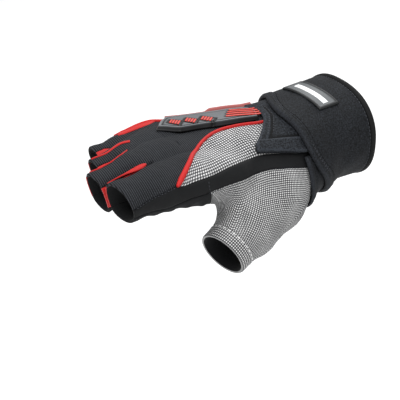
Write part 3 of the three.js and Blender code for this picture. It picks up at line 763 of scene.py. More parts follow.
def taken() -> Shape:
    """Points and faces of the active object, which is then removed."""
    shape = bpy.context.object
    points = np.array([v.co[:] for v in shape.data.vertices])
    faces = [list(p.vertices) for p in shape.data.polygons]
    bpy.data.objects.remove(shape)
    return points, faces


def joined(shapes: Sequence[Shape]) -> Shape:
    """Points and faces of many small shapes, as one.

    Args:
        shapes: Points and faces of each.

    Returns:
        All points and all faces.
    """
    faces: list = []
    start = 0
    for points, index in shapes:
        faces += [[start + v for v in face] for face in index]
        start += len(points)
    return np.concatenate([points for points, _ in shapes]), faces


class Pattern(Enum):
    """How a finish is made, which decides the pattern of its surface."""

    RIBS = "rib knit"
    NET = "spacer mesh knit"
    WEAVE = "plain weave"
    SUEDE = "napped microfibre"
    FOAM = "brushed neoprene"
    MOULD = "moulded elastomer"
    FILM = "reflective film"
    THREAD = "twisted thread"


def add(tree: Tree, kind: str, links: dict | Sequence = (),
        **settings: object) -> bpy.types.bpy_prop_collection:
    """Adds a node with its settings and links.

    Args:
        tree: The material's node tree.
        kind: The node's type, without the words that all types start with.
        links: What feeds its inputs, by name or in order, each a socket or a value.
        **settings: The node's own settings.

    Returns:
        The node's outputs.
    """
    made = tree.nodes.new("ShaderNode" + kind)
    for key, value in settings.items():
        setattr(made, key, value)
    for key, value in links.items() if isinstance(links, dict) else enumerate(links):
        if isinstance(value, Socket):
            tree.links.new(value, made.inputs[key])
        else:
            made.inputs[key].default_value = value
    return made.outputs


TIMES = {"operation": "MULTIPLY"}
PLUS = {"operation": "ADD"}
MINUS = {"operation": "SUBTRACT"}
POWER = {"operation": "POWER"}
SCALED = {"operation": "MULTIPLY_ADD"}


@dataclass(frozen=True)
class Finish:
    """A material, from the real one's make."""

    name: str
    slot: str
    pattern: Pattern
    dark: str
    light: str
    roughness: float
    pitch: float = 1.0
    bump: float = 0.1
    mottle: float = 0.12
    gloss: float = 0.2
    sheen: float = 0.0

    def wave(self, tree: Tree, coordinate: object, pitch: float,
             shift: object = 0.0) -> Socket:
        """Sine from 0 to 1 along a coordinate.

        Args:
            tree: The node tree.
            coordinate: Socket in metres or in the map's millimetres.
            pitch: Length of one wave in the same unit.
            shift: Added phase.

        Returns:
            The wave's socket.
        """
        turn = add(tree, "Math", (coordinate, 2 * math.pi / pitch, shift), **SCALED)[0]
        sine = add(tree, "Math", (turn,), operation="SINE")[0]
        return add(tree, "Math", (sine, 0.5, 0.5), **SCALED)[0]

    def flecked(self, tree: Tree, height: object, grain: object, much: float,
                least: float) -> Socket:
        """The height as a tone, with the yarn's own flecks in it."""
        flecks = add(tree, "Math", (grain, much, least), **SCALED)[0]
        return add(tree, "Math", (height, flecks), **TIMES)[0]

    def surface(self, tree: Tree) -> tuple[Socket, Socket]:
        """Height and tone of the pattern.

        Args:
            tree: The node tree.

        Returns:
            Two sockets from 0 to 1.
        """
        node = partial(add, tree)
        pitch = self.pitch * MM
        place = node("TexCoord")["Object"]
        grain = node("TexNoise", {"Vector": place, "Scale": 1 / pitch, "Detail": 3.0})[0]
        if self.pattern is Pattern.RIBS:
            # Ribs lie across the hand, each a row of small loops
            x, y, z = node("SeparateXYZ", (place,))
            across = node("Math", (y, -0.135, x), **SCALED)[0]
            bow = node("Math", (z, 0.3, across), **SCALED)[0]
            rib = node("Math", (self.wave(tree, bow, pitch), 1.1), **POWER)[0]
            share = node("Math", (bow, pitch), operation="DIVIDE")[0]
            row = node("Math", (node("Math", (share,), operation="FLOOR")[0], math.pi), **TIMES)[0]
            loop = node("Math", (self.wave(tree, y, pitch * 0.7, row), 0.4, 0.6), **SCALED)[0]
            height = node("Math", (rib, loop), **TIMES)[0]
            return height, self.flecked(tree, height, grain, 0.8, 0.6)
        if self.pattern is Pattern.NET:
            # Light yarn over a dark ground, in a grid that follows the cloth
            u, v, _ = node("SeparateXYZ", (node("UVMap", uv_map="cloth")[0],))
            lines = [node("Math", (self.wave(tree, way, self.pitch * stretch), 0.9), **POWER)[0]
                     for way, stretch in ((u, 1.0), (v, 1.15))]
            height = node("Math", lines, **TIMES)[0]
            return height, self.flecked(tree, height, grain, 0.5, 0.75)
        if self.pattern is Pattern.MOULD:
            # A fine grain, and the tone that each piece stores from its moulded relief, which on
            # the guard is painted shade in the grooves and a painted highlight on the ridge
            fine = node("Math", (grain, 0.2, 0.4), **SCALED)[0]
            return fine, node("Attribute", attribute_name="relief")["Fac"]
        if self.pattern is Pattern.FOAM:
            # Short crossed fibres, lighter tips over dark roots, plus the painted highlights along
            # rolled edges and the painted shade in grooves that the pieces store
            painted_light = node("Attribute", attribute_name="painted_light")["Fac"]
            tips = node("Math", (node("Math", (grain, 0.5), **MINUS)[0], 3.2, 0.4), **SCALED)[0]
            return grain, node("Math", (tips, painted_light), **PLUS)[0]
        if self.pattern is Pattern.WEAVE:
            x, y, z = node("SeparateXYZ", (place,))
            leaning = node("Math", (x, node("Math", (y, 0.2), **TIMES)[0]), **PLUS)[0]
            ways = (leaning, node("Math", (y, z), **PLUS)[0])
            threads = node("Math", [self.wave(tree, way, pitch) for way in ways], **PLUS)[0]
            weave = node("Math", (threads, 0.5), **TIMES)[0]
            return weave, self.flecked(tree, weave, grain, 0.8, 0.6)
        return grain, grain

    def material(self) -> bpy.types.Material:
        """The material, made once.

        Returns:
            The material.
        """
        if self.name in bpy.data.materials:
            return bpy.data.materials[self.name]
        made = bpy.data.materials.new(self.name)
        made.use_nodes = True
        tree = made.node_tree
        shader = tree.nodes["Principled BSDF"]
        height, tone = self.surface(tree)
        place = add(tree, "TexCoord")["Object"]
        cloud = add(tree, "TexNoise", {"Vector": place, "Scale": 60.0, "Detail": 2.0})[0]
        blotch = add(tree, "Math", (cloud, 0.5), **MINUS)[0]
        shade = add(tree, "Math", (blotch, self.mottle * 2, tone), **SCALED)[0]
        colour = add(tree, "Mix", {0: shade, 6: linear(self.dark), 7: linear(self.light)},
                     data_type="RGBA", clamp_factor=True)[2]
        relief = {"Height": height, "Distance": self.bump * MM, "Strength": 1.0}
        tree.links.new(colour, shader.inputs["Base Color"])
        tree.links.new(add(tree, "Bump", relief)[0], shader.inputs["Normal"])
        for key, value in (("Roughness", self.roughness), ("IOR", 1.5),
                           ("Specular IOR Level", self.gloss), ("Sheen Weight", self.sheen),
                           ("Sheen Roughness", 0.45)):
            shader.inputs[key].default_value = value
        return made

    def dress(self, piece: Piece) -> Piece:
        """Gives a piece this finish.

        Args:
            piece: The piece.

        Returns:
            The piece.
        """
        piece.data.materials.append(self.material())
        if any(p.material_index for p in piece.data.polygons):
            piece.data.materials.append(LINING_JERSEY.material())
        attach(piece, "root")
        return piece


# Polyester rib knit, near 0.8 mm a rib and drawn coarser so that it shows: charcoal ribs that
# catch the light on their crowns
RIB_KNIT = Finish("black_rib_knit", "knit", Pattern.RIBS, "#030304", "#3c3f44", 0.85, 1.25, 0.35)
# Nylon plain weave: nearly even black with a low sheen
BAND_CLOTH = Finish("black_nylon_weave", "smooth", Pattern.WEAVE, "#0a0b0c", "#151618",
                    0.75, 0.7, 0.05)
# Spacer mesh, drawn coarser than it is so that it shows: light grey yarn over dark openings
MESH_KNIT = Finish("grey_spacer_mesh", "mesh", Pattern.NET, "#1a1c1f", "#f8f8f9", 0.85, 1.65, 0.4)
# The same yarn in a finer gauge, stretched over the thumb
THUMB_KNIT = Finish("fine_spacer_mesh", "mesh", Pattern.NET, "#1d1f22", "#fbfbfb",
                    0.85, 1.3, 0.35)
# Microfibre suede: matt, with a short nap
PALM_SUEDE = Finish("black_microfibre", "palm", Pattern.SUEDE, "#0c0d0e", "#1e1f21",
                    0.9, 0.8, 0.12)
# Lycra side strips and tape: even red with a soft sheen
RED_CLOTH = Finish("red_stretch_tape", "red", Pattern.WEAVE, "#98161a", "#c92a26", 0.55, 0.8, 0.08)
# Moulded rubber inlays: even red, satin
RED_RUBBER = Finish("red_moulded_rubber", "red", Pattern.MOULD, "#c03a30", "#da5a4e",
                    0.45, 0.5, 0.02, 0.1, 0.35)
# The same rubber, thin over the grey: a dull rose
ROSE_RUBBER = Finish("rose_moulded_rubber", "red", Pattern.MOULD, "#9a5350", "#bd716c",
                     0.5, 0.5, 0.02, 0.15, 0.3)
# Thermoplastic rubber: grey satin faces, with painted shade in the grooves
GUARD_RUBBER = Finish("grey_moulded_rubber", "rubber", Pattern.MOULD, "#050506", "#6c6f73",
                      0.42, 0.5, 0.03, 0.1)
# Neoprene faced with brushed jersey: deep black with a fine nap
NEOPRENE = Finish("black_neoprene", "elastic", Pattern.FOAM, "#050607", "#25282d",
                  0.8, 0.75, 0.16, 0.2)
# The same jersey seen closer on the tab: a heather of lighter and darker fibres
TAB_JERSEY = Finish("heathered_neoprene", "elastic", Pattern.FOAM, "#060709", "#31353b",
                    0.85, 0.8, 0.2, 0.2)
# Nylon binding tape: even black, a little smoother than the cloth beside it
BINDING = Finish("black_binding", "smooth", Pattern.WEAVE, "#070808", "#121314", 0.7, 0.6, 0.05)
# Moulded label rubber: dark border, grey field
LABEL_RUBBER = Finish("black_label_rubber", "label", Pattern.MOULD, "#141516", "#56595b",
                      0.4, 0.4, 0.02)
# Reflective film: nearly white and smooth
SILVER_FILM = Finish("reflective_film", "silver", Pattern.FILM, "#dfe1e2", "#f4f5f5",
                     0.3, 0.6, 0.01)
# Brushed polyester jersey: the dark inner face of every sewn panel
LINING_JERSEY = Finish("black_lining_jersey", "knit", Pattern.SUEDE, "#0d0e0f", "#1d1e20",
                       0.9, 0.8, 0.08, sheen=0.1)
# Twisted polyester thread: even, with little gloss
BLACK_THREAD = Finish("black_thread", "smooth", Pattern.THREAD, "#2a2c30", "#505359",
                      0.6, 0.3, 0.05)
WHITE_THREAD = Finish("white_thread", "mesh", Pattern.THREAD, "#dcdcdc", "#f3f3f3", 0.6, 0.3, 0.05)


@dataclass
class Stitching:
    """Rows of thread that lie on the cloth, each stitch a small rounded bar."""

    pitch: float = 2.6
    length: float = 1.9
    radius: float = 0.2
    sunk: float = 0.35

    def single(self) -> Shape:
        """One stitch along X at the origin.

        Returns:
            Its points in millimetres and its faces.
        """
        bpy.ops.object.select_all(action="DESELECT")
        bpy.ops.mesh.primitive_uv_sphere_add(segments=6, ring_count=4, radius=1.0)
        points, faces = taken()
        return points * (self.length / 2, self.radius, self.radius), faces

    def sew(self, name: str, lines: Sequence[Places],
            finish: Finish) -> Piece:
        """Sews along lines on the cloth.

        Args:
            name: Name of the piece.
            lines: Points on the cloth's surface and outward directions.
            finish: The thread.

        Returns:
            The piece.
        """
        shape, faces = self.single()
        stitches = []
        for points, normals in lines:
            steps = np.linalg.norm(np.diff(points, axis=0), axis=1)
            walked = np.concatenate([[0], np.cumsum(steps)])

            def read(values: Array, s: float) -> Array:
                """The line's value at a length along it."""
                return np.array([np.interp(s, walked, column) for column in values.T])

            for s in np.arange(self.pitch / 2, walked[-1] - self.pitch / 2, self.pitch):
                at, up = read(points, s), unit(read(normals, s))
                way = unit(read(points, s + 0.5) - at)
                side = unit(np.cross(up, way))
                basis = np.stack([way, side, np.cross(way, side)])
                stitches.append((shape @ basis + at + up * self.radius * self.sunk, faces))
        return finish.dress(new_piece(name, *joined(stitches)))


@dataclass
class Seams:
    """The seams that the sewn panels share, as control points for each station."""

    piping: Array = field(init=False)
    band_top: Array = field(init=False)
    band_low: Array = field(init=False)
    thumb: Array = field(init=False)
    far: Array = field(init=False)
    palm_far: Array = field(init=False)

    def __post_init__(self) -> None:
        """Works the seams out."""
        near = np.array([near_x(k) for k in range(STATIONS + 1)])
        away = np.array([far_x(k) for k in range(STATIONS + 1)])
        self.piping = FORM.hand_point(near, flowing(PIPING_SEAM, near))
        self.band_low = FORM.hand_point(near, flowing(BAND_LOW, near))
        self.far = FORM.hand_point(away, along(FAR_SEAM, away))
        self.palm_far = FORM.hand_point(away, along(PALM_FAR, away))
        for k in range(HAND_STEPS + 1, STATIONS + 1):
            sides = [(self.far, 3, away, PINKY_FAR), (self.palm_far, 3, away, PALM_EDGE)]
            if k > MEET:
                sides += [(self.piping, 0, near, INDEX_TOP), (self.band_low, 0, near, INDEX_LOW)]
            for seam, finger, x, table in sides:
                x = x[k:k + 1]
                seam[k] = FORM.finger_point(finger, x, along(table, x), lean_of(k))[0]
        self.band_top = self.piping.copy()
        self.band_top[:MEET] = FORM.hand_point(near[:MEET], flowing(BAND_TOP, near[:MEET]))
        thumb = np.asarray(THUMB_SEAM, float)
        self.thumb = FORM.hand_point(thumb[:, 0], thumb[:, 1])
        self.thumb[HAND_STEPS] = self.band_low[HAND_STEPS]


SEAMS = Seams()


@dataclass
class FingerPanel:
    """Panel that splits into four finger strips, on the back or on the palm."""

    near: Array
    far: Array
    near_rows: Rows
    far_rows: Rows
    finger_near: Rows
    finger_far: Rows
    columns: int
    sign: int

    def tip(self, groove: int) -> float:
        """x of a web's tip on this side."""
        return FORM.webs[groove][0 if self.sign > 0 else 1]

    def edges(self, groove: int) -> Pair:
        """Angles of the panel's edges on the two fingers beside a groove."""
        if self.sign > 0:
            return BACK_EDGE_A, BACK_EDGE_B[groove]
        return PALM_EDGE_A, PALM_EDGE_B

    def hand_rows(self) -> Array:
        """Control points from the wrist to the knuckles.

        Returns:
            Rows and columns of points.
        """
        t = np.linspace(0, 1, self.columns * 4 + 1)
        rows = []
        for k in range(HAND_STEPS + 1):
            a, b = self.near[k][0], self.far[k][0]
            if self.sign > 0:
                angles = mix(along(self.near_rows, near_x(k)), along(self.far_rows, far_x(k)), t)
            else:
                angles = mix(self.near_rows[k][1], along(self.far_rows, far_x(k)), t)
            row = FORM.hand_point(mix(a, b, t), angles)
            row[0], row[-1] = self.near[k], self.far[k]
            rows.append(row)
        return np.array(rows)

    def strip(self, finger: int, knuckles: Array) -> Array:
        """Control points of one finger's strip.

        Args:
            finger: Number of the finger.
            knuckles: The strip's points at the knuckles.

        Returns:
            Rows and columns of points.
        """
        left, right = max(finger - 1, 0), min(finger, 2)
        t = np.linspace(0, 1, self.columns + 1)
        rows = [knuckles]
        for k in range(HAND_STEPS + 1, STATIONS + 1):
            end = FORM.cuts[finger][0]
            xa = station_x(k, self.tip(left), FORM.webs[left][2], end)
            xb = station_x(k, self.tip(right), FORM.webs[right][2], end)
            low = self.edges(left)[1] if finger > 0 else along(self.finger_near, near_x(k))
            high = self.edges(right)[0] if finger < 3 else along(self.finger_far, far_x(k))
            x = mix(xa, xb, t)
            start, guess = FORM.finger_ray(finger, x, mix(low, high, t), lean_of(k))
            if k < FIRST_SLEEVE:
                w = float(ease((k - HAND_STEPS) / (WEB_STEPS + 1)))
                plumb, _ = FORM.plumb_ray(x, knuckles[:, 1], self.sign)
                start = mix(plumb, start, w)
                held = mix(x, guess[:, 0], w)
                guess = mix(knuckles, guess, w)
                guess[:, 0] = held
            row = FORM.cast(start, guess)
            if k < FIRST_SLEEVE:
                s = (k - HAND_STEPS) / WEB_STEPS
                for column, groove in [(0, left)] * (finger > 0) + [(-1, right)] * (finger < 3):
                    x0 = mix(knuckles[column][0], self.tip(groove), s)
                    y0 = mix(knuckles[column][1], FORM.grooves[groove], float(ease(s)))
                    row[column] = FORM.cast(*FORM.plumb_ray(x0, y0, self.sign))
            if finger == 0:
                row[0] = self.near[k]
            if finger == 3:
                row[-1] = self.far[k]
            rows.append(row)
        return np.array(rows)

    def sheet(self, each: tuple[int, int]) -> Sheet:
        """The panel's sheet.

        Args:
            each: Places in a control cell, along and across.

        Returns:
            The sheet.
        """
        rows = self.hand_rows()
        made = Sheet().lay(rows, each, edges=(0.0, 0.0))
        for finger in range(4):
            a = finger * self.columns
            strip = self.strip(finger, rows[-1][a:a + self.columns + 1])
            made.lay(strip, each, edges=(0.0, 0.0))
        return made


def between(seams: Sequence[Array], hand: Sequence[Rows], station: Callable[[int], float],
            last: int, columns: int, finger: int = 0, tips: Sequence[Rows] = (),
            change: int = STATIONS + 1, turn: float = 0.0) -> Array:
    """Control points between two seams, from the wrist on.

    Args:
        seams: The two seams by station.
        hand: Their angles round the hand.
        station: x of a station.
        last: Last station.
        columns: Cells across.
        finger: The finger that the end lies on.
        tips: The seams' angles round that finger.
        change: First station on the finger.
        turn: Degrees added to the second seam's angles.

    Returns:
        Rows and columns of points.
    """
    t = np.linspace(0, 1, columns + 1)
    rows = []
    for k in range(last + 1):
        x = np.full_like(t, station(k))
        first, second = (along(table, x) for table in (hand if k < change else tips))
        angles = mix(first, second + turn, t)
        if k < change:
            row = FORM.hand_point(x, angles)
        else:
            row = FORM.finger_point(finger, x, angles, lean_of(k))
        row[0], row[-1] = seams[0][k], seams[1][k]
        if np.allclose(seams[0][k], seams[1][k]):
            row[:] = seams[0][k]
        rows.append(row)
    return np.array(rows)


@dataclass
class SewnPanels:
    """The cloth and leather panels of the hand."""

    band_step: Rows = ((-130.6, -42.9, 23.1), (-130.5, -44.4, 18.0), (-126.8, -41.9, 9.2))

    def sew(self, name: str, sheet: Sheet, finish: Finish, node: str) -> None:
        piece = finish.dress(Wall(relief=cloth_relief).build(name, sheet))
        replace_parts(piece, node)

    def back(self) -> None:
        """Ribbed back panel with its four finger strips."""
        panel = FingerPanel(SEAMS.piping, SEAMS.far, PIPING_SEAM, FAR_SEAM,
                            BACK_NEAR, PINKY_FAR, 5, 1)
        self.sew("ribbed_back", panel.sheet((9, 7)), RIB_KNIT, "back_panel")

    def palm(self) -> None:
        """Palm panel with its four finger strips."""
        near = np.concatenate([SEAMS.thumb, SEAMS.band_low[HAND_STEPS + 1:]])
        panel = FingerPanel(near, SEAMS.palm_far, THUMB_SEAM, PALM_FAR, PALM_NEAR, PALM_EDGE, 4, -1)
        self.sew("palm_leather", panel.sheet((7, 6)), PALM_SUEDE, "palm_panel")

    def mesh(self) -> None:
        """Mesh panel beside the back, which ends in a point."""
        seams = (SEAMS.band_top, SEAMS.piping)
        control = between(seams, (BAND_TOP, PIPING_SEAM), near_x, MEET, 5)
        self.sew("mesh_side", Sheet().lay(control, (9, 8)), MESH_KNIT, "mesh_panel")

    def band(self) -> None:
        """Smooth band along the index finger."""
        control = between((SEAMS.band_low, SEAMS.band_top), (BAND_LOW, BAND_TOP), near_x, STATIONS,
                          3, 0, (INDEX_LOW, INDEX_TOP), MEET)
        self.sew("index_band", Sheet().lay(control, (8, 6)), BAND_CLOTH, "side_band")

    def outer(self) -> None:
        """Panel along the little finger's side."""
        control = between((SEAMS.far, SEAMS.palm_far), (FAR_SEAM, PALM_FAR), far_x, STATIONS,
                          4, 3, (PINKY_FAR, PALM_EDGE), HAND_STEPS + 1, 360)
        self.sew("outer_side", Sheet().lay(control, (7, 6)), BAND_CLOTH, "outer_panel")

    def stitches(self) -> None:
        """Stitches along the index finger's seam, across the band and along the thumb's seam."""
        def sewn(points: Array) -> Places:
            """A line on the panels, with its outward directions."""
            path = FORM.settle(points)
            normals = FORM.outward(path, SMOOTH)
            return path + normals * 0.02, normals

        index = spline(SEAMS.piping, np.linspace(MEET + 0.2, STATIONS - 0.1, 60))
        low = spline(SEAMS.band_low, np.linspace(1, HAND_STEPS + 0.5, 120))
        step = spline(np.array(self.band_step), np.linspace(0, 1.999, 24))
        lines = [sewn(points) for points in (index, low, step)]
        Stitching(2.0, 1.4, 0.16).sew("seam_stitches", lines, BLACK_THREAD)

    def build(self) -> None:
        """Builds all panels."""
        for step in (self.back, self.palm, self.mesh, self.band, self.outer, self.stitches):
            step()


CREASES = (
    Crease([[-112, -44, -12], [-106, -36, -2], [-98, -34, 6]], -0.9, 3.0),
    Crease([[-108, -50, -18], [-100, -46, -8], [-90, -40, 0]], 0.7, 3.5),
    Crease([[-118, -46, -14], [-112, -50, -22], [-104, -50, -32]], -0.6, 2.5),
)


def cloth_relief(p: Array) -> Array:
    """Soft unevenness and creases of worn cloth.

    Args:
        p: Points in millimetres.

    Returns:
        Heights in millimetres.
    """
    x, y, z = p.T
    low = 0.16 * np.sin(x * 0.31 + 1.3 * np.sin(y * 0.13)) * np.sin(y * 0.23 + z * 0.17 + 0.5)
    out = low + 0.08 * np.sin(x * 0.71 + y * 0.37) * np.sin(z * 0.53 - y * 0.29)
    bunched = ease((-34 - y) / 5) * ease((-118 - x) / 8) * ease((14 - z) / 6) * ease((z + 12) / 6)
    out = out + 0.6 * bunched * np.sin(x * 0.62 + z * 0.2)
    for crease in CREASES:
        out = out + crease.height(p)
    return out


@dataclass
class FingerSides:
    """Red strips between the fingers."""

    across: int = 5

    def arc(self, b: int) -> Array:
        """Control points round a web, from the back to the palm.

        Args:
            b: Number of the web.

        Returns:
            One row of points.
        """
        back, palm, _ = FORM.webs[b]
        y = FORM.grooves[b]
        top = FORM.cast(*FORM.plumb_ray(np.array([back - 0.6]), y, 1))[0]
        bottom = FORM.cast(*FORM.plumb_ray(np.array([palm - 1.0]), y, -1))[0]
        inside = np.array([back + 10, y, (top[2] + bottom[2]) / 2])
        start = math.atan2(top[2] - inside[2], inside[0] - top[0])
        stop = math.atan2(bottom[2] - inside[2], inside[0] - bottom[0])
        angle = np.linspace(start, stop, self.across + 1)
        out = np.stack([-20 * np.cos(angle), 0 * angle, 20 * np.sin(angle)], -1)
        row = FORM.cast(np.tile(inside, (len(angle), 1)), inside + out)
        row[0], row[-1] = top, bottom
        return row

    def control(self, b: int) -> Array:
        """Control points of a strip: one finger's side, round the web, the next one's.

        Args:
            b: Number of the web.

        Returns:
            Rows and columns of points.
        """
        web = FORM.webs[b]

        def side(finger: int, k: int, start: float, stop: float) -> Array:
            """Points across the strip at a station."""
            x = station_x(k, web[0], web[2], FORM.cuts[finger][0])
            turn = np.linspace(start, stop, self.across + 1)
            return FORM.finger_point(finger, np.full_like(turn, x), turn, lean_of(k))

        sleeve = range(FIRST_SLEEVE, STATIONS + 1)
        rows = [side(b, k, BACK_EDGE_A, PALM_EDGE_A + 360) for k in reversed(sleeve)]
        rows.append(self.arc(b))
        rows += [side(b + 1, k, BACK_EDGE_B[b], PALM_EDGE_B) for k in sleeve]
        return np.array(rows)

    def build(self) -> None:
        """Builds the three strips."""
        for b in range(3):
            sheet = Sheet().lay(self.control(b), (7, 5), edges=(0.0, 0.0))
            piece = Wall(roll=0.25, trim=0.05).build(f"finger_side_{b + 1}", sheet)
            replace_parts(RED_CLOTH.dress(piece), f"fourchette_{b + 1}")


@dataclass
class ThumbSleeve:
    """Mesh sleeve of the thumb and its turned hem."""

    centre: tuple = (-121.0, -43.0, -28.2)
    axis: tuple = (-0.91, -0.22, -0.36)
    hem: float = 9.0
    rows: int = 8

    def frame(self) -> tuple[Array, Array, Array]:
        """Axis of the thumb and two directions across it."""
        axis = unit(np.array(self.axis))
        side = unit(np.cross(axis, [0, 0, 1]))
        return axis, side, np.cross(side, axis)

    def ring(self, angles: Array, back: float) -> Array:
        """Points round the thumb at a distance from the opening."""
        axis, side, up = self.frame()
        start = np.array(self.centre) - axis * back
        out = np.outer(np.cos(angles), side) + np.outer(np.sin(angles), up)
        return FORM.cast(np.tile(start, (len(angles), 1)), start + out)

    def loop(self) -> Array:
        """The closed seam where the sleeve leaves the hand."""
        wrist = FORM.hand_point(np.full(5, WRIST_X), np.array([-68.0, -54, -40, -26, -12]))
        return np.concatenate([SEAMS.band_low[:HAND_STEPS + 1], SEAMS.thumb[HAND_STEPS - 1::-1],
                               wrist])

    def turned(self) -> Array:
        """Even angles round the thumb for the points of the loop.

        Returns:
            Angles in radians.
        """
        _, side, up = self.frame()
        loop = self.loop()
        d = loop - loop.mean(0)
        angles = np.unwrap(np.arctan2(d @ up, d @ side))
        whole = np.sign(angles[-1] - angles[0]) * 2 * math.pi
        even = whole * np.arange(len(loop)) / len(loop)
        return mix(angles, (angles - even).mean() + even, 0.7)

    def control(self) -> Array:
        """Control points from the seam on the hand to the hem, evened out over the form.

        Returns:
            Rows and columns of points.
        """
        loop = self.loop()
        hem = self.ring(self.turned(), self.hem)
        t = np.linspace(0, 1, self.rows + 1)[:, None, None]
        grid = FORM.settle(loop[None] * (1 - t) + hem[None] * t, 8)
        grid[0], grid[-1] = loop, hem
        for _ in range(40):
            inner = grid[:-2] + grid[2:] + np.roll(grid, 1, 1)[1:-1] + np.roll(grid, -1, 1)[1:-1]
            grid[1:-1] = FORM.settle(inner / 4, 2)
        return grid

    def build(self) -> None:
        """Builds the sleeve, the hem and the hem's white stitches."""
        sleeve = Sheet().lay(self.control(), (9, 7), closed=True)
        piece = Wall(relief=cloth_relief, dark_rim=True).build("mesh_thumb", sleeve, start=0.25)
        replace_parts(THUMB_KNIT.dress(piece), "thumb_sleeve")
        turned = self.turned()
        rings = np.array([self.ring(turned, self.hem * s) for s in (1.0, 0.66, 0.33, 0.0)])
        hem = Sheet().lay(rings, (4, 7), closed=True, edges=(0.08, 0.08))
        wall = Wall(high=0.25, roll=0.35, reach=1.2, relief=cloth_relief)
        turned_up = wall.build("thumb_hem_turned", hem, start=0.25)
        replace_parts(THUMB_KNIT.dress(turned_up), "thumb_hem")
        ring = self.ring(turned, self.hem - 1.0)
        line = FORM.settle(spline(ring, np.linspace(0, len(turned), 200), True))
        normals = FORM.outward(line)
        lines = [(line + normals * 0.2, normals)]
        Stitching(3.4, 2.9, 0.28).sew("thumb_hem_stitches", lines, WHITE_THREAD)


@dataclass
class RedTrim:
    """Red cords over the back panel's seams and red tape along the slits between the fingers."""

    first: int = 2
    # Tables of x and half width
    widths: Rows = ((-40, 0.9), (-90, 0.95), (-120, 1.1), (-138, 1.45), (-147, 1.65), (-150, 1.2),
                    (-151.5, 0.3))
    far_widths: Rows = ((-40, 0.8), (-95, 0.75), (-116, 0.75), (-124, 0.95), (-136, 1.1),
                        (-144, 0.2))
    # Places along each slit with the tape's half width, from the openings to the webs
    slits: Sequence[Rows] = (
        ((-180, -18.3, 26, 0.4), (-174, -18.3, 27.4, 0.4), (-169.5, -18.9, 28.6, 0.6),
         (-165.5, -19.6, 29.6, 1.2), (-161.5, -20.1, 30.4, 1.7), (-158.2, -20.2, 31, 1.5),
         (-156.2, -20.2, 31.3, 0.6)),
        ((-183.5, -6, 28.4, 0.35), (-174, -5.8, 30.4, 0.35), (-165, -5.5, 32, 0.35),
         (-161.6, -5.2, 32.6, 0.4), (-158, -2, 31.4, 0.45), (-155, 1, 30, 0.4)),
        ((-171.5, 12, 24.4, 0.5), (-166, 11.8, 26, 0.7), (-160, 11.4, 27.6, 0.9),
         (-153.5, 10.4, 29.2, 1.1), (-148.4, 8.2, 30.2, 1.2)))
    # Both edges of the wedge, which meet at its ends
    wedge: Sequence[Rows] = (
        ((-143, 28.9, 21.6), (-139.5, 27.4, 23.6), (-134.5, 26.2, 25), (-129, 24.8, 26),
         (-124, 24.9, 26.3), (-118.5, 27.5, 25.3)),
        ((-143, 28.9, 21.6), (-139.5, 33.5, 20.6), (-134.5, 36.4, 20), (-129, 36.2, 21.4),
         (-124, 33.2, 23.2), (-118.5, 27.5, 25.3)))

    def seam_cord(self, name: str, seam: Array, node: str, widths: Rows) -> None:
        """Builds the cord over a seam.

        Args:
            name: Name of the piece.
            seam: The seam by station.
            node: The frame's node.
            widths: Table of x and half width.
        """
        where = np.linspace(self.first, MEET, (MEET - self.first) * 9 + 1)
        path = FORM.settle(spline(seam, where))
        half = along(widths, path[:, 0])
        tall = np.minimum(1.45, 0.2 + 1.4 * half)
        piece = cord(name, path, FORM.outward(path, SMOOTH), half, tall, RED_CLOTH)
        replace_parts(piece, node)

    def gusset(self) -> None:
        """Builds the red wedge beside the little finger's knuckle."""
        near, far = np.array(self.wedge)
        rows = mix(near[None], far[None], np.linspace(0, 1, 5)[:, None, None])
        sheet = Sheet().lay(FORM.settle(rows), (6, 10))
        piece = RED_CLOTH.dress(Wall(-0.2, 0.8, 0.5, 0.9, 0.0).build("far_gusset", sheet))

    def build(self) -> None:
        """Builds the cords, the tape of the slits and the wedge."""
        self.seam_cord("near_piping", SEAMS.piping, "piping_near", self.widths)
        self.seam_cord("far_piping", SEAMS.far, "piping_far", self.far_widths)
        for i, rows in enumerate(self.slits):
            fine = spline(np.asarray(rows, float), np.linspace(0, len(rows) - 1.001, 60))
            half = fine[:, 3]
            # The first tape bridges its slit, and the others lie on the cloth
            path = FORM.settle(fine[:, :3]) if i else fine[:, :3]
            up = FORM.outward(path, 2.5) if i else np.tile(unit(np.array([0, -0.25, 1.0])), (60, 1))
            cord(f"slit_tape_{i + 1}", path, up, half, 0.5 + 0.2 * half, RED_CLOTH)
        self.gusset()


def cord(name: str, path: Array, normals: Array, half: Array, tall: Array,
         finish: Finish) -> Piece:
    """Lays a sewn-down cord along a path.

    Args:
        name: Name of the piece.
        path: Points on what it lies on.
        normals: Outward directions there.
        half: Half its width at each point.
        tall: Its height at each point.
        finish: Its finish.

    Returns:
        The piece.
    """
    sides = unit(np.cross(normals, unit(np.gradient(path, axis=0))))
    rings = []
    for a in np.linspace(0, 2 * math.pi, 14, endpoint=False):
        rise = math.sin(a) * (1.0 if math.sin(a) > 0 else 0.3)
        out = sides * math.cos(a) * half[:, None]
        rings.append(path + out + normals * (0.05 + rise * tall[:, None]))
    grid = np.array(rings)
    n, m = grid.shape[:2]
    starts = [i * m for i in range(n)]
    faces = [[a + j, b + j, b + j + 1, a + j + 1]
             for a, b in zip(starts, starts[1:] + starts[:1]) for j in range(m - 1)]
    faces += [starts[::-1], [i + m - 1 for i in starts]]
    piece = new_piece(name, grid.reshape(-1, 3), faces)
    fix_normals(piece)
    return finish.dress(piece)


# Edges of the tab and the wrap, as degrees round the wrist and x, and for the bottom the other way
TAB_FRONT = [[150, -80], [140, -75], [125, -66], [106, -61.5], [86, -65], [66, -75], [48, -86],
             [39, -87.5]]
TAB_BOTTOM = [[-28, 22], [-55, 22], [-72, 31], [-87.5, 39]]
WRAP_LEFT = [[18, -57], [-20, -57], [-60, -52], [-100, -49], [-150, -45], [-200, -42], [-234, -45],
             [-245, -48.5], [-259, -53], [-288, -58], [-313, -55.5], [-338, -55], [-356, -52],
             [-378, -43], [-400, -38], [-440, -36], [-495, -38]]


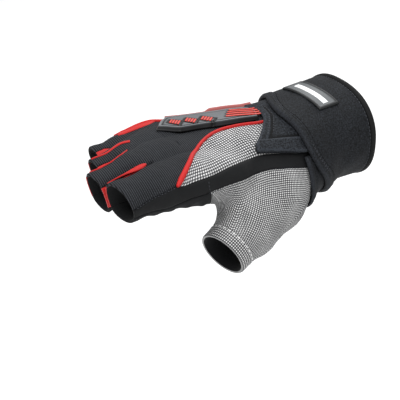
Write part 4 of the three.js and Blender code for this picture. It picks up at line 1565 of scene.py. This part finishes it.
@dataclass
class WristTab:
    """Neoprene tab on the back of the wrist, bound and stitched round its edge."""

    rear: float = -28.0
    sides: Pair = (39.0, 150.0)
    length: float = 52.0
    height: float = 48.0
    # Shares of them at which the hem and the folded band end
    hem_end: float = 0.148
    fold_end: float = 0.15

    def point(self, s: Array, t: Array) -> Array:
        """Points of the tab: s from its front edge to its rear, t from its lower edge up."""
        front = along(TAB_FRONT, mix(self.sides[0], self.sides[1], t))
        x = mix(front, self.rear, s)
        return FORM.hand_point(x, mix(along(TAB_BOTTOM, x), self.sides[1], t))

    def relief(self, p: Array) -> Array:
        """Slight unevenness of padded cloth."""
        x, y, _ = p.T
        return 0.18 * np.sin(x * 0.35 + 0.4) * np.sin(y * 0.21)

    def flattened(self, p: Array) -> Array:
        """How the folded band is pressed flat where it runs under the wrap."""
        return self.relief(p) - 1.5 * ease((p[:, 0] + 58) / 2.5)

    def painted_shade(self, p: Array) -> Array:
        """Painted shade: dark lines in the grooves where the hem and the folded band end on the
        tab.
        """
        path = np.concatenate([self.point(np.full(60, self.hem_end), np.linspace(0.13, 1, 60)),
                               self.point(np.linspace(0, 0.6, 40), np.full(40, self.fold_end))])
        return -0.9 * bell(apart(p, path), 0.8)

    def edge_line(self, inset: float, lift: float) -> Places:
        """A line along the front edge, moved in by some millimetres.

        Args:
            inset: Distance from the edge.
            lift: Height above the tab's face.

        Returns:
            Points on the tab's surface and outward directions.
        """
        t = np.linspace(1, 0, 60)
        shares = np.full(60, inset / self.length), np.clip(t, inset / self.height, 1)
        front = self.point(*shares)
        path = FORM.settle(front[t > 0.16])
        normals = FORM.outward(path, SMOOTH)
        return path + normals * (TAB_LIFT + TAB_THICK + lift), normals

    def strip(self, name: str, s: Array, t: Array, low: float, high: float,
              relief: Optional[Callable[[Array], Array]] = None) -> Piece:
        """Lays a strip of cloth on the tab.

        Args:
            name: Name of the piece.
            s: From and to of each place, rows and columns.
            t: The same along the other way.
            low: Height of its underside.
            high: Height of its top.
            relief: Its unevenness, the tab's own if none is given.

        Returns:
            The piece.
        """
        wall = Wall(low, high, 1.0, 1.5, 0.0, relief or self.relief)
        sheet = self.sheet(s, t, (5, 7), (0.14, 0.05))
        return TAB_JERSEY.dress(wall.build(name, sheet))

    def sheet(self, s: Array, t: Array, each: tuple[int, int],
              edges: Pair) -> Sheet:
        """The sheet through places of the tab."""
        return Sheet().lay(self.point(s.ravel(), t.ravel()).reshape(*s.shape, 3), each, edges=edges)

    def build(self) -> None:
        """Builds the tab, its hem, its folded lower band and its rows of stitches."""
        top = TAB_LIFT + TAB_THICK
        s, t = np.meshgrid(np.linspace(0, 1, 9), np.linspace(0, 1, 12), indexing="ij")
        sheet = self.sheet(s, t, (7, 8), (0.06, 0.06))
        thick = Wall(TAB_LIFT, top, 0.9, 1.4, 0.0, self.relief, self.painted_shade)
        piece = TAB_JERSEY.dress(thick.build("tab_pad", sheet))
        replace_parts(piece, "wrist_tab")
        s, t = np.meshgrid([0, 0.04, 0.085, 0.13], np.linspace(0, 1, 14), indexing="ij")
        hem = self.strip("tab_hem", s, t, top - 1.2, top + 1.0)
        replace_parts(hem, "tab_binding")
        t, s = np.meshgrid([0, 0.045, 0.09, 0.135], np.linspace(-0.005, 0.6, 9), indexing="ij")
        fold = self.strip("tab_fold", s, t, top - 1.0, top + 1.7, self.flattened)
        lines = [self.edge_line(5.2, 0.9), self.edge_line(9.0, 0.05)]
        Stitching(2.3, 1.7, 0.22).sew("tab_stitches", lines, BLACK_THREAD)


@dataclass
class WristWrap:
    """Neoprene strip wound round the wrist over the tab, with its bound edge and stitches."""

    start: float = 18.0
    stop: float = -495.0
    right: float = -3.7
    # The angle from which the wrap leaves the hand and lies on its own first turn
    outside: float = -150.0
    # Distances from the left edge to its stitches, the end of its hem and the groove beside it
    stitch: float = 3.9
    hem: float = 4.9
    groove: float = 5.6

    def risen(self, angle: Array) -> Array:
        """How far the strip has risen on its own first turn, from 0 to 1."""
        return ease((self.outside - angle) / 50)

    def low(self, angle: Array) -> Array:
        """Height of the strip's inner face."""
        return mix(TAB_LIFT, WRAP_LIFT, self.risen(angle))

    def high(self, angle: Array) -> Array:
        """Height of the strip's outer face."""
        return self.low(angle) + mix(TAB_THICK, WRAP_THICK, self.risen(angle))

    def left(self, angle: Array) -> Array:
        """x of the strip's left edge."""
        return flowing(WRAP_LEFT, angle, TURN_BLUR)

    def tilt(self, turn: Array) -> Array:
        """How many times longer the way across the left edge is along X than square to it."""
        ahead = self.left(turn + 2) - self.left(turn - 2)
        return np.sqrt(1 + (ahead / 1.9) ** 2)

    def line(self, angles: Array, x: Array, lift: float) -> Places:
        """Points on the strip's outer face.

        Args:
            angles: Angles round the wrist.
            x: Their x.
            lift: Height above the face.

        Returns:
            Points and outward directions.
        """
        path = FORM.hand_point(x, angles)
        normals = FORM.outward(path, SMOOTH)
        return path + normals * (self.high(angles) + lift)[:, None], normals

    def strip(self, name: str, angles: Array, left: Array, right: Array,
              cells: Array, face: Callable[[Array, Array], Array],
              lift: float = 0.0) -> Piece:
        """Builds a wound strip with rounded edges.

        Args:
            name: Name of the piece.
            angles: Angles of its rows.
            left: Left edge of each row.
            right: Right edge of each row.
            cells: Places across, in millimetres from the left edge where below 0 from the right.
            face: Added height by row and place.
            lift: Height that the whole outer face gains.

        Returns:
            The piece.
        """
        left, right, turn = left[:, None], right[:, None], angles[:, None]
        x = np.sort(np.clip(np.where(cells >= 0, left, right) + cells, left, right), axis=1)
        edge = np.minimum(x - left, right - x)
        edge = np.minimum(edge, 0.45 * np.abs(turn - angles[[0, -1]]).min(1)[:, None])
        turn = np.repeat(turn, x.shape[1], 1)
        base = FORM.hand_point(x.ravel(), turn.ravel())
        soft = 1 - ease(edge / 1.3) ** 0.6
        high = self.high(turn) + lift + face(turn, x) * ease(edge / 1.5) - 0.85 * soft
        low = self.low(turn) + 0.5 * soft
        inset = (x - left) / self.tilt(turn)
        # Painted highlights on the rolled left edge and on the hem's inner edge, painted shade in
        # the groove beside the hem and along the stitches
        painted_light = 0.5 * bell(inset - 0.9, 0.6) + 0.4 * bell(inset - 4.7, 0.4)
        painted_light = painted_light - 0.8 * bell(inset - self.groove, 0.45) - 0.4 * bell(inset - self.stitch, 0.4)
        verts = two_sided(base, FORM.outward(base, SMOOTH), high, low)
        return slab(name, x.shape, verts, "painted_light", [painted_light.ravel(), 0 * painted_light.ravel()])

    def folds(self, turn: Array, x: Array) -> Array:
        """Relief of the wrap: a turned and stitched left edge and soft folds.

        Args:
            turn: Angles.
            x: Their x.

        Returns:
            Heights in millimetres.
        """
        inset = (x - self.left(turn)) / self.tilt(turn)
        hem = 0.75 * (1 - ease((inset - self.hem) / 0.7))
        dents = -0.6 * bell(inset - self.groove, 0.5) - 0.3 * bell(inset - self.stitch, 0.5)
        soft = 0.35 * np.sin(np.radians(turn * 3.1) + x * 0.07) * np.sin(x * 0.16 + 0.6)
        pull = 0.2 * np.sin(np.radians(turn * 9) - x * 0.21) * ease((inset - 6) / 4)
        return hem + dents + soft + pull

    def build(self) -> None:
        """Builds the wrap, its binding and its stitches."""
        angles = np.linspace(self.start, self.stop, 340)
        left = self.left(angles)
        right = np.full_like(angles, self.right)
        cells = np.concatenate([[0, 0.25, 0.6, 1.0, 1.5, 2.2, 2.8], np.arange(3.3, 8.6, 0.35),
                                np.arange(9.2, 48, 1.5), [-2.2, -1.5, -1.0, -0.6, -0.25, -0.001]])
        wrap = NEOPRENE.dress(self.strip("wrap_strip", angles, left, right, cells, self.folds))
        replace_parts(wrap, "wrist_wrap")
        outer = angles[angles < self.outside]
        right = np.full_like(outer, self.right)
        cells = np.array([0, 0.2, 0.5, 0.9, 1.4, 1.9, -1.2, -0.8, -0.45, -0.2, -0.001])
        edge = self.strip("wrap_edge", outer, right + 0.1, 0 * right, cells,
                          lambda turn, x: 0.25 * np.ones_like(x), 0.45)
        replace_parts(BINDING.dress(edge), "wrap_binding")
        middle = FORM.hand_point(np.full_like(angles, -25), angles)
        # The outer turn is wider round than the form by about an eighth
        seen = angles[angles < -190]
        lines = [self.line(seen, self.left(seen) + inset * self.tilt(seen), lift)
                 for inset, lift in ((self.stitch, 0.42), (self.groove, -0.35))]
        lines.append(self.line(outer, right - 1.2, 0.0))
        Stitching(2.3, 1.7, 0.22).sew("wrap_stitches", lines, BLACK_THREAD)


@dataclass
class InnerCuff:
    """Elastic lining of the wrist."""

    ends: Pair = (-45.3, -1.5)

    def build(self) -> None:
        """Builds the lining."""
        turn = np.arange(0, 360, 11.25)
        rows = np.array([FORM.hand_point(np.full(32, x), turn) for x in np.linspace(*self.ends, 6)])
        sheet = Sheet().lay(rows, (5, 5), closed=True)
        piece = Wall(low=-LINING, roll=0.5, trim=0.0).build("cuff_inner", sheet)
        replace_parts(NEOPRENE.dress(piece), "cuff_lining")


@dataclass
class KnuckleGuard:
    """Moulded rubber guard over the knuckles, with red bars in its cells and red ribs.

    Its rows run from the knuckles to the wrist: near x, near y, far x, far y, share of the height.
    """

    edge: Rows = ((-130, 9, -128.4, 11.4, 0.7), (-125, 5.6, -122.4, 17.4, 0.9),
                  (-118.6, 1.2, -115.4, 23.4, 1), (-112.5, 0, -108.6, 21.6, 1),
                  (-106, -0.8, -102, 19.4, 1), (-99, -1.6, -96, 18, 1), (-92.5, -2.3, -90, 17, 1),
                  (-86, -2.6, -84, 16, 1), (-79.5, -2.9, -78, 15, 1),
                  (-73, -3.3, -71.5, 14.2, 0.85), (-66.8, -3.6, -65, 13.4, 0.65))
    low: float = 0.4
    crown: float = 2.9
    # Middle of the first cell in plan, ways along its bars and across them, steps, half sizes
    middle: Pair = (-116.9, 10.0)
    axes: Rows = ((0.77, 0.64), (0.62, -0.785))
    step: Pair = (5.8, 7.9)
    half: Pair = (3.2, 3.95)
    bars: Sequence[float] = (-2.35, -0.78, 0.78, 2.35)
    bar_half: float = 2.6
    bar_width: float = 1.15
    bar_tall: float = 0.6
    ribs: Rows = ((-85.8, 3.4, -63.6, -1.1), (-83.4, 5.9, -62.6, 1.5), (-80.8, 8.3, -62.0, 4.2),
                  (-78, 10.6, -62.0, 6.9))
    rib_width: float = 1.3

    def at(self, s: Array) -> Array:
        """Edges and height share of the guard at row s."""
        table = np.asarray(self.edge, float)
        return np.stack([np.interp(s, np.arange(len(table)), table[:, c]) for c in range(5)], -1)

    def plan(self, s: Array, t: Array) -> Array:
        """x and y of places on the guard."""
        e = self.at(s)
        wave = 3 * ease((s - 7) / 3) * np.sin(math.pi * t)
        return np.stack([mix(e[:, 0], e[:, 2], t) + wave, mix(e[:, 1], e[:, 3], t)], -1)

    def base(self, place: Array) -> Places:
        """Points of the form under places in plan, and outward directions."""
        under = FORM.cast(*FORM.plumb_ray(place[:, 0], place[:, 1], 1))
        return under, FORM.outward(under, SMOOTH)

    def rim(self, place: Array) -> Array:
        """Distance in plan to the guard's outline."""
        s = np.concatenate([np.arange(11), np.full(9, 10), np.arange(10, -1, -1)]).astype(float)
        t = np.concatenate([np.zeros(11), np.linspace(0, 1, 9), np.ones(11)])
        ring = self.plan(s, t)
        return self.near(place, np.concatenate([ring, np.roll(ring, -1, 0)], 1))

    def near(self, place: Array, lines: Array) -> Array:
        """Distance from places to the nearest of some lines, each x, y to x, y.

        Args:
            place: Places in plan.
            lines: The lines.

        Returns:
            One distance for each place.
        """
        best = np.full(len(place), 1e9)
        for line in np.asarray(lines, float):
            way = line[2:] - line[:2]
            h = np.clip((place - line[:2]) @ way / max(way @ way, 1e-9), 0, 1)
            best = np.minimum(best, np.linalg.norm(place - line[:2] - h[:, None] * way, axis=1))
        return best

    def cell_place(self, cell: int, a: float, b: float) -> Array:
        """Place in plan of a point of a cell, along its bars and across them."""
        moved = np.array([self.step[0] * cell + a, self.step[1] * cell + b])
        axes = np.asarray(self.axes, float)
        return np.asarray(self.middle) + moved[0] * axes[0] + moved[1] * axes[1]

    def cell_line(self, cell: int, a0: float, b0: float, a1: float, b1: float) -> Array:
        """A line in a cell as x, y to x, y in plan."""
        return np.concatenate([self.cell_place(cell, a0, b0), self.cell_place(cell, a1, b1)])

    def grooves(self) -> Array:
        """The zigzag lines round the cells."""
        p, q = self.half
        lines = [(0, -p, -q, p, -q), (2, -p - 1, q + 0.7, p + 0.4, q + 0.7)]
        lines += [(c, -p, -q, -p, q) for c in range(3)] + [(c, p, -q, p, q) for c in range(3)]
        lines += [(c, -p - self.step[0], -q, p, -q) for c in (1, 2)]
        return np.array([self.cell_line(*line) for line in lines])

    def relief(self, place: Array) -> Places:
        """Moulded relief and how bright each place is, with painted shade and a painted highlight.

        Args:
            place: Places in plan.

        Returns:
            Heights in millimetres above the plain crown and tones from 0 to 1.
        """
        rim = self.rim(place)
        ridge = bell(rim - 1.55, 0.5)
        line = bell(self.near(place, self.grooves()), 0.7)
        frame_line = bell(rim - 2.9, 0.5)
        pocket = np.zeros(len(place))
        for cell in range(3):
            mid = self.cell_place(cell, 0, 0)
            a, b = np.abs((place - mid) @ np.asarray(self.axes, float).T).T
            pocket = np.maximum(pocket, (1 - ease((a - 2.3) / 0.5)) * (1 - ease((b - 3.1) / 0.4)))
        bed = 1 - ease((self.near(place, self.ribs) - 1.1) / 0.5)
        out = 0.2 * ridge - 0.7 * line - 0.45 * frame_line - 0.15 * np.maximum(pocket, bed)
        # Tone: a painted highlight on the ridge by the edge, painted shade in the grooves and the
        # frame line, darker in the sunk cells and the ribs' beds
        tone = 0.66 + 0.3 * ridge - 1.3 * line - 0.8 * frame_line - 0.3 * pocket - 0.85 * bed
        # Painted shade on the side wall
        wall = 1 - ease((rim - 0.6) / 0.9)
        return out - 2.0 * (1 - ease(rim / 1.25)) ** 1.4, np.clip(tone - 0.6 * wall, 0, 1)

    def crest(self, s: Array) -> Array:
        """Height of the plain crown above the form at rows."""
        return self.low + 0.3 + self.crown * self.at(s)[:, 4]

    def shell(self) -> None:
        """Builds the moulded body."""
        rows = np.concatenate([[0, 0.02, 0.06], np.linspace(0.12, 9.88, 236), [9.94, 9.98, 10]])
        cols = np.concatenate([[0, 0.006, 0.015], np.linspace(0.028, 0.972, 92), [0.985, 0.994, 1]])
        s, t = (g.ravel() for g in np.meshgrid(rows, cols, indexing="ij"))
        place = self.plan(s, t)
        base, normals = self.base(place)
        out, tone = self.relief(place)
        verts = two_sided(base, normals, self.crest(s) + out, self.low)
        piece = slab("guard_shell", (len(rows), len(cols)), verts, "relief", [tone, 0 * tone])
        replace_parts(GUARD_RUBBER.dress(piece), "knuckle_guard")

    def rounded_bar(self, length: float, width: float, tall: float) -> Shape:
        """A flat bar with rounded edges, modelled lying along X.

        Args:
            length: Its length in millimetres.
            width: Its width.
            tall: Its height.

        Returns:
            Points and faces.
        """
        bpy.ops.object.select_all(action="DESELECT")
        bpy.ops.mesh.primitive_cube_add(size=1.0)
        edit(bpy.context.object)
        bpy.ops.transform.resize(value=(length, width, tall))
        bpy.ops.mesh.bevel(offset=min(width, tall) * 0.38, segments=3, affect="EDGES")
        for k in range(1, int(length)):
            bpy.ops.mesh.select_all(action="SELECT")
            bpy.ops.mesh.bisect(plane_co=(k - length / 2, 0, 0), plane_no=(1, 0, 0))
        bpy.ops.object.mode_set(mode="OBJECT")
        return taken()

    def inlay(self, name: str, lines: Rows, width: float, node: str) -> None:
        """Lays rounded bars on the guard.

        Args:
            name: Name of the piece.
            lines: Middle line of each bar in plan, x, y to x, y.
            width: Width of the bars.
            node: The frame's node that they stand for.
        """
        shapes = []
        rows = np.asarray(self.edge, float)[:, 0]
        for line in np.asarray(lines, float):
            way = line[2:] - line[:2]
            points, faces = self.rounded_bar(float(np.linalg.norm(way)), width, self.bar_tall)
            way = unit(way)
            side = np.array([-way[1], way[0]])
            place = (line[:2] + line[2:]) / 2 + points[:, :1] * way + points[:, 1:2] * side
            base, normals = self.base(place)
            s = np.interp(place[:, 0] - 1.5, rows, np.arange(len(rows)))
            shapes.append((base + normals * (self.crest(s) + points[:, 2])[:, None], faces))
        piece = new_piece(name, *joined(shapes))
        fix_normals(piece)
        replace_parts(RED_RUBBER.dress(piece), node)

    def build(self) -> None:
        """Builds the guard, the bars in its cells, its ribs and the red line of its far edge."""
        self.shell()
        for cell in range(3):
            bars = [self.cell_line(cell, -self.bar_half, b, self.bar_half, b) for b in self.bars]
            self.inlay(f"guard_bars_{cell + 1}", bars, self.bar_width, f"guard_cell_{cell + 1}")
        for i, rib in enumerate(self.ribs):
            self.inlay(f"guard_rib_{i + 1}", [rib], self.rib_width, f"guard_stripe_{i + 1}")
        s = np.concatenate([np.linspace(2.1, 9.9, 62), np.full(8, 9.9)])
        place = self.plan(s, np.ones(70))
        place[-8:] += np.outer(np.linspace(0.8, 6.2, 8), (1, -0.15))
        rise = ease((s - 5.8) / 0.9)
        place[:, 1] += 0.6 + 0.8 * rise
        base, normals = self.base(place)
        tall = self.crest(s) + 0.15 + 1.5 * rise
        cord("guard_far_line", base, normals, 0.55 + 0.9 * rise, tall, ROSE_RUBBER)


@dataclass
class WrapLabel:
    """Rubber label on the wrap, with a raised border and a bare reflective bar."""

    first: float = 57.0
    last: float = 118.2
    left: Pair = (-32.8, -34.6)
    right: Pair = (-18.2, -20.4)
    size: Pair = (15.0, 32.0)
    # Distances from each edge at which its rounding and its border have their places
    rim: Sequence[float] = (0, 0.2, 0.5, 0.9, 1.3, 1.6, 1.9)

    def plate(self, name: str, u: Pair, v: Pair, border: float,
              low: float, high: float, finish: Finish, node: str) -> None:
        """Lays a plate with a raised border on the wrap.

        Args:
            name: Name of the piece.
            u: From and to across the label, from 0 to 1.
            v: From and to along it.
            border: Width of the raised border in millimetres, 0 for none.
            low: Height of its underside above the wrap.
            high: Height of its top.
            finish: Its finish.
            node: The frame's node that it stands for.
        """
        size = np.array([self.size[0] * (u[1] - u[0]), self.size[1] * (v[1] - v[0])])
        near = np.array(self.rim)
        steps = [np.unique(np.concatenate([near, np.arange(2.5, d - 2, 0.8), d - near]))
                 for d in size]
        a, b = (g.ravel() for g in np.meshgrid(*steps, indexing="ij"))
        edge = np.minimum(np.minimum(a, size[0] - a), np.minimum(b, size[1] - b))
        top = high - 0.4 * (1 - ease(edge / 0.5))
        tone = np.full_like(a, 0.6)
        if border:
            sunk = ease((edge - border) / 0.35)
            top = top - 0.5 * sunk
            tone = 0.1 + 0.9 * sunk
        pu = u[0] + (u[1] - u[0]) * a / size[0]
        pv = v[0] + (v[1] - v[0]) * b / size[1]
        base = FORM.hand_point(mix(mix(*self.left, pv), mix(*self.right, pv), pu),
                               mix(self.first, self.last, pv))
        lift = WRAP_LIFT + WRAP_THICK
        verts = two_sided(base, FORM.outward(base, SMOOTH), lift + top, lift + low)
        piece = slab(name, (len(steps[0]), len(steps[1])), verts, "relief", [tone, tone])
        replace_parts(finish.dress(piece), node)

    def build(self) -> None:
        """Builds the label and its bar."""
        self.plate("label_plate", (0, 1), (0, 1), 1.5, 0.1, 1.5, LABEL_RUBBER, "label")
        self.plate("label_film", (0.37, 0.62), (0.09, 0.88), 0.0, 0.8, 1.5, SILVER_FILM,
                   "label_bar")


@dataclass(frozen=True)
class Studio:
    """Pale floor, soft lights and the camera."""

    target: tuple[float, float, float] = (-0.0852, 0.0300, -0.0405)
    back: tuple[float, float, float] = (-0.49166, -0.70215, 0.51504)
    right: tuple[float, float, float] = (0.81915, -0.57358, 0.0)
    up: tuple[float, float, float] = (0.29542, 0.42190, 0.85718)
    away: float = 0.9
    lens: float = 131.28
    floor: float = -0.25
    sky: float = 0.65

    def camera(self) -> None:
        """Places the camera at the photograph's viewing angle."""
        data = bpy.data.cameras.new("camera")
        data.lens = self.lens
        data.sensor_width = 36.0
        data.clip_start = 0.01
        made = link("camera", data)
        r, u, b = (Vector(v) for v in (self.right, self.up, self.back))
        turn = Matrix((r, u, b)).transposed()
        made.matrix_world = Matrix.Translation(Vector(self.target) + b * self.away) @ turn.to_4x4()
        bpy.context.scene.camera = made

    def light(self, name: str, place: tuple[float, float, float], size: float,
              power: float) -> None:
        """Adds a soft square light that faces the glove.

        Args:
            name: Name of the light.
            place: Where it stands, in metres.
            size: Its side in metres.
            power: Its power in watts.
        """
        data = bpy.data.lights.new(name, "AREA")
        data.size = size
        data.energy = power
        made = link(name, data)
        way = Vector(place) - Vector(self.target)
        turn = way.to_track_quat("Z", "Y").to_matrix()
        made.matrix_world = Matrix.Translation(place) @ turn.to_4x4()

    def ground(self) -> None:
        """Lays the pale floor."""
        bpy.ops.object.select_all(action="DESELECT")
        bpy.ops.mesh.primitive_plane_add(size=8.0, location=(0, 0, self.floor))
        plane = bpy.context.object
        plane.name = "floor"
        made = bpy.data.materials.new("pale_paper")
        made.use_nodes = True
        shader = made.node_tree.nodes["Principled BSDF"]
        shader.inputs["Base Color"].default_value = linear("#f6f6f6")
        shader.inputs["Roughness"].default_value = 0.9
        plane.data.materials.append(made)

    def build(self) -> None:
        """Builds the studio."""
        self.camera()
        self.ground()
        self.light("key", (-0.45, -0.1, 0.95), 0.6, 9.0)
        self.light("fill", (-0.4, -0.9, 0.25), 0.9, 2.0)
        self.light("rim", (0.45, 0.35, 0.6), 0.6, 4.0)
        bpy.context.scene.view_settings.view_transform = "Standard"
        world = bpy.data.worlds.new("studio")
        world.use_nodes = True
        sky = world.node_tree.nodes["Background"].inputs
        sky["Color"].default_value = (1, 1, 1, 1)
        sky["Strength"].default_value = self.sky
        bpy.context.scene.world = world


def main() -> None:
    """Builds every sub-assembly in order."""
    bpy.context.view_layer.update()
    Studio().build()
    for part in (SewnPanels(), FingerSides(), ThumbSleeve(), RedTrim(), InnerCuff(), WristTab(),
                 WristWrap(), KnuckleGuard(), WrapLabel()):
        known = set(bpy.data.objects.keys())
        part.build()
        for name in sorted(set(bpy.data.objects.keys()) - known):
            log.info("%s: %s", type(part).__name__, name)


if __name__ == "__main__":
    logging.basicConfig(level=logging.INFO, format="%(message)s")
    main()
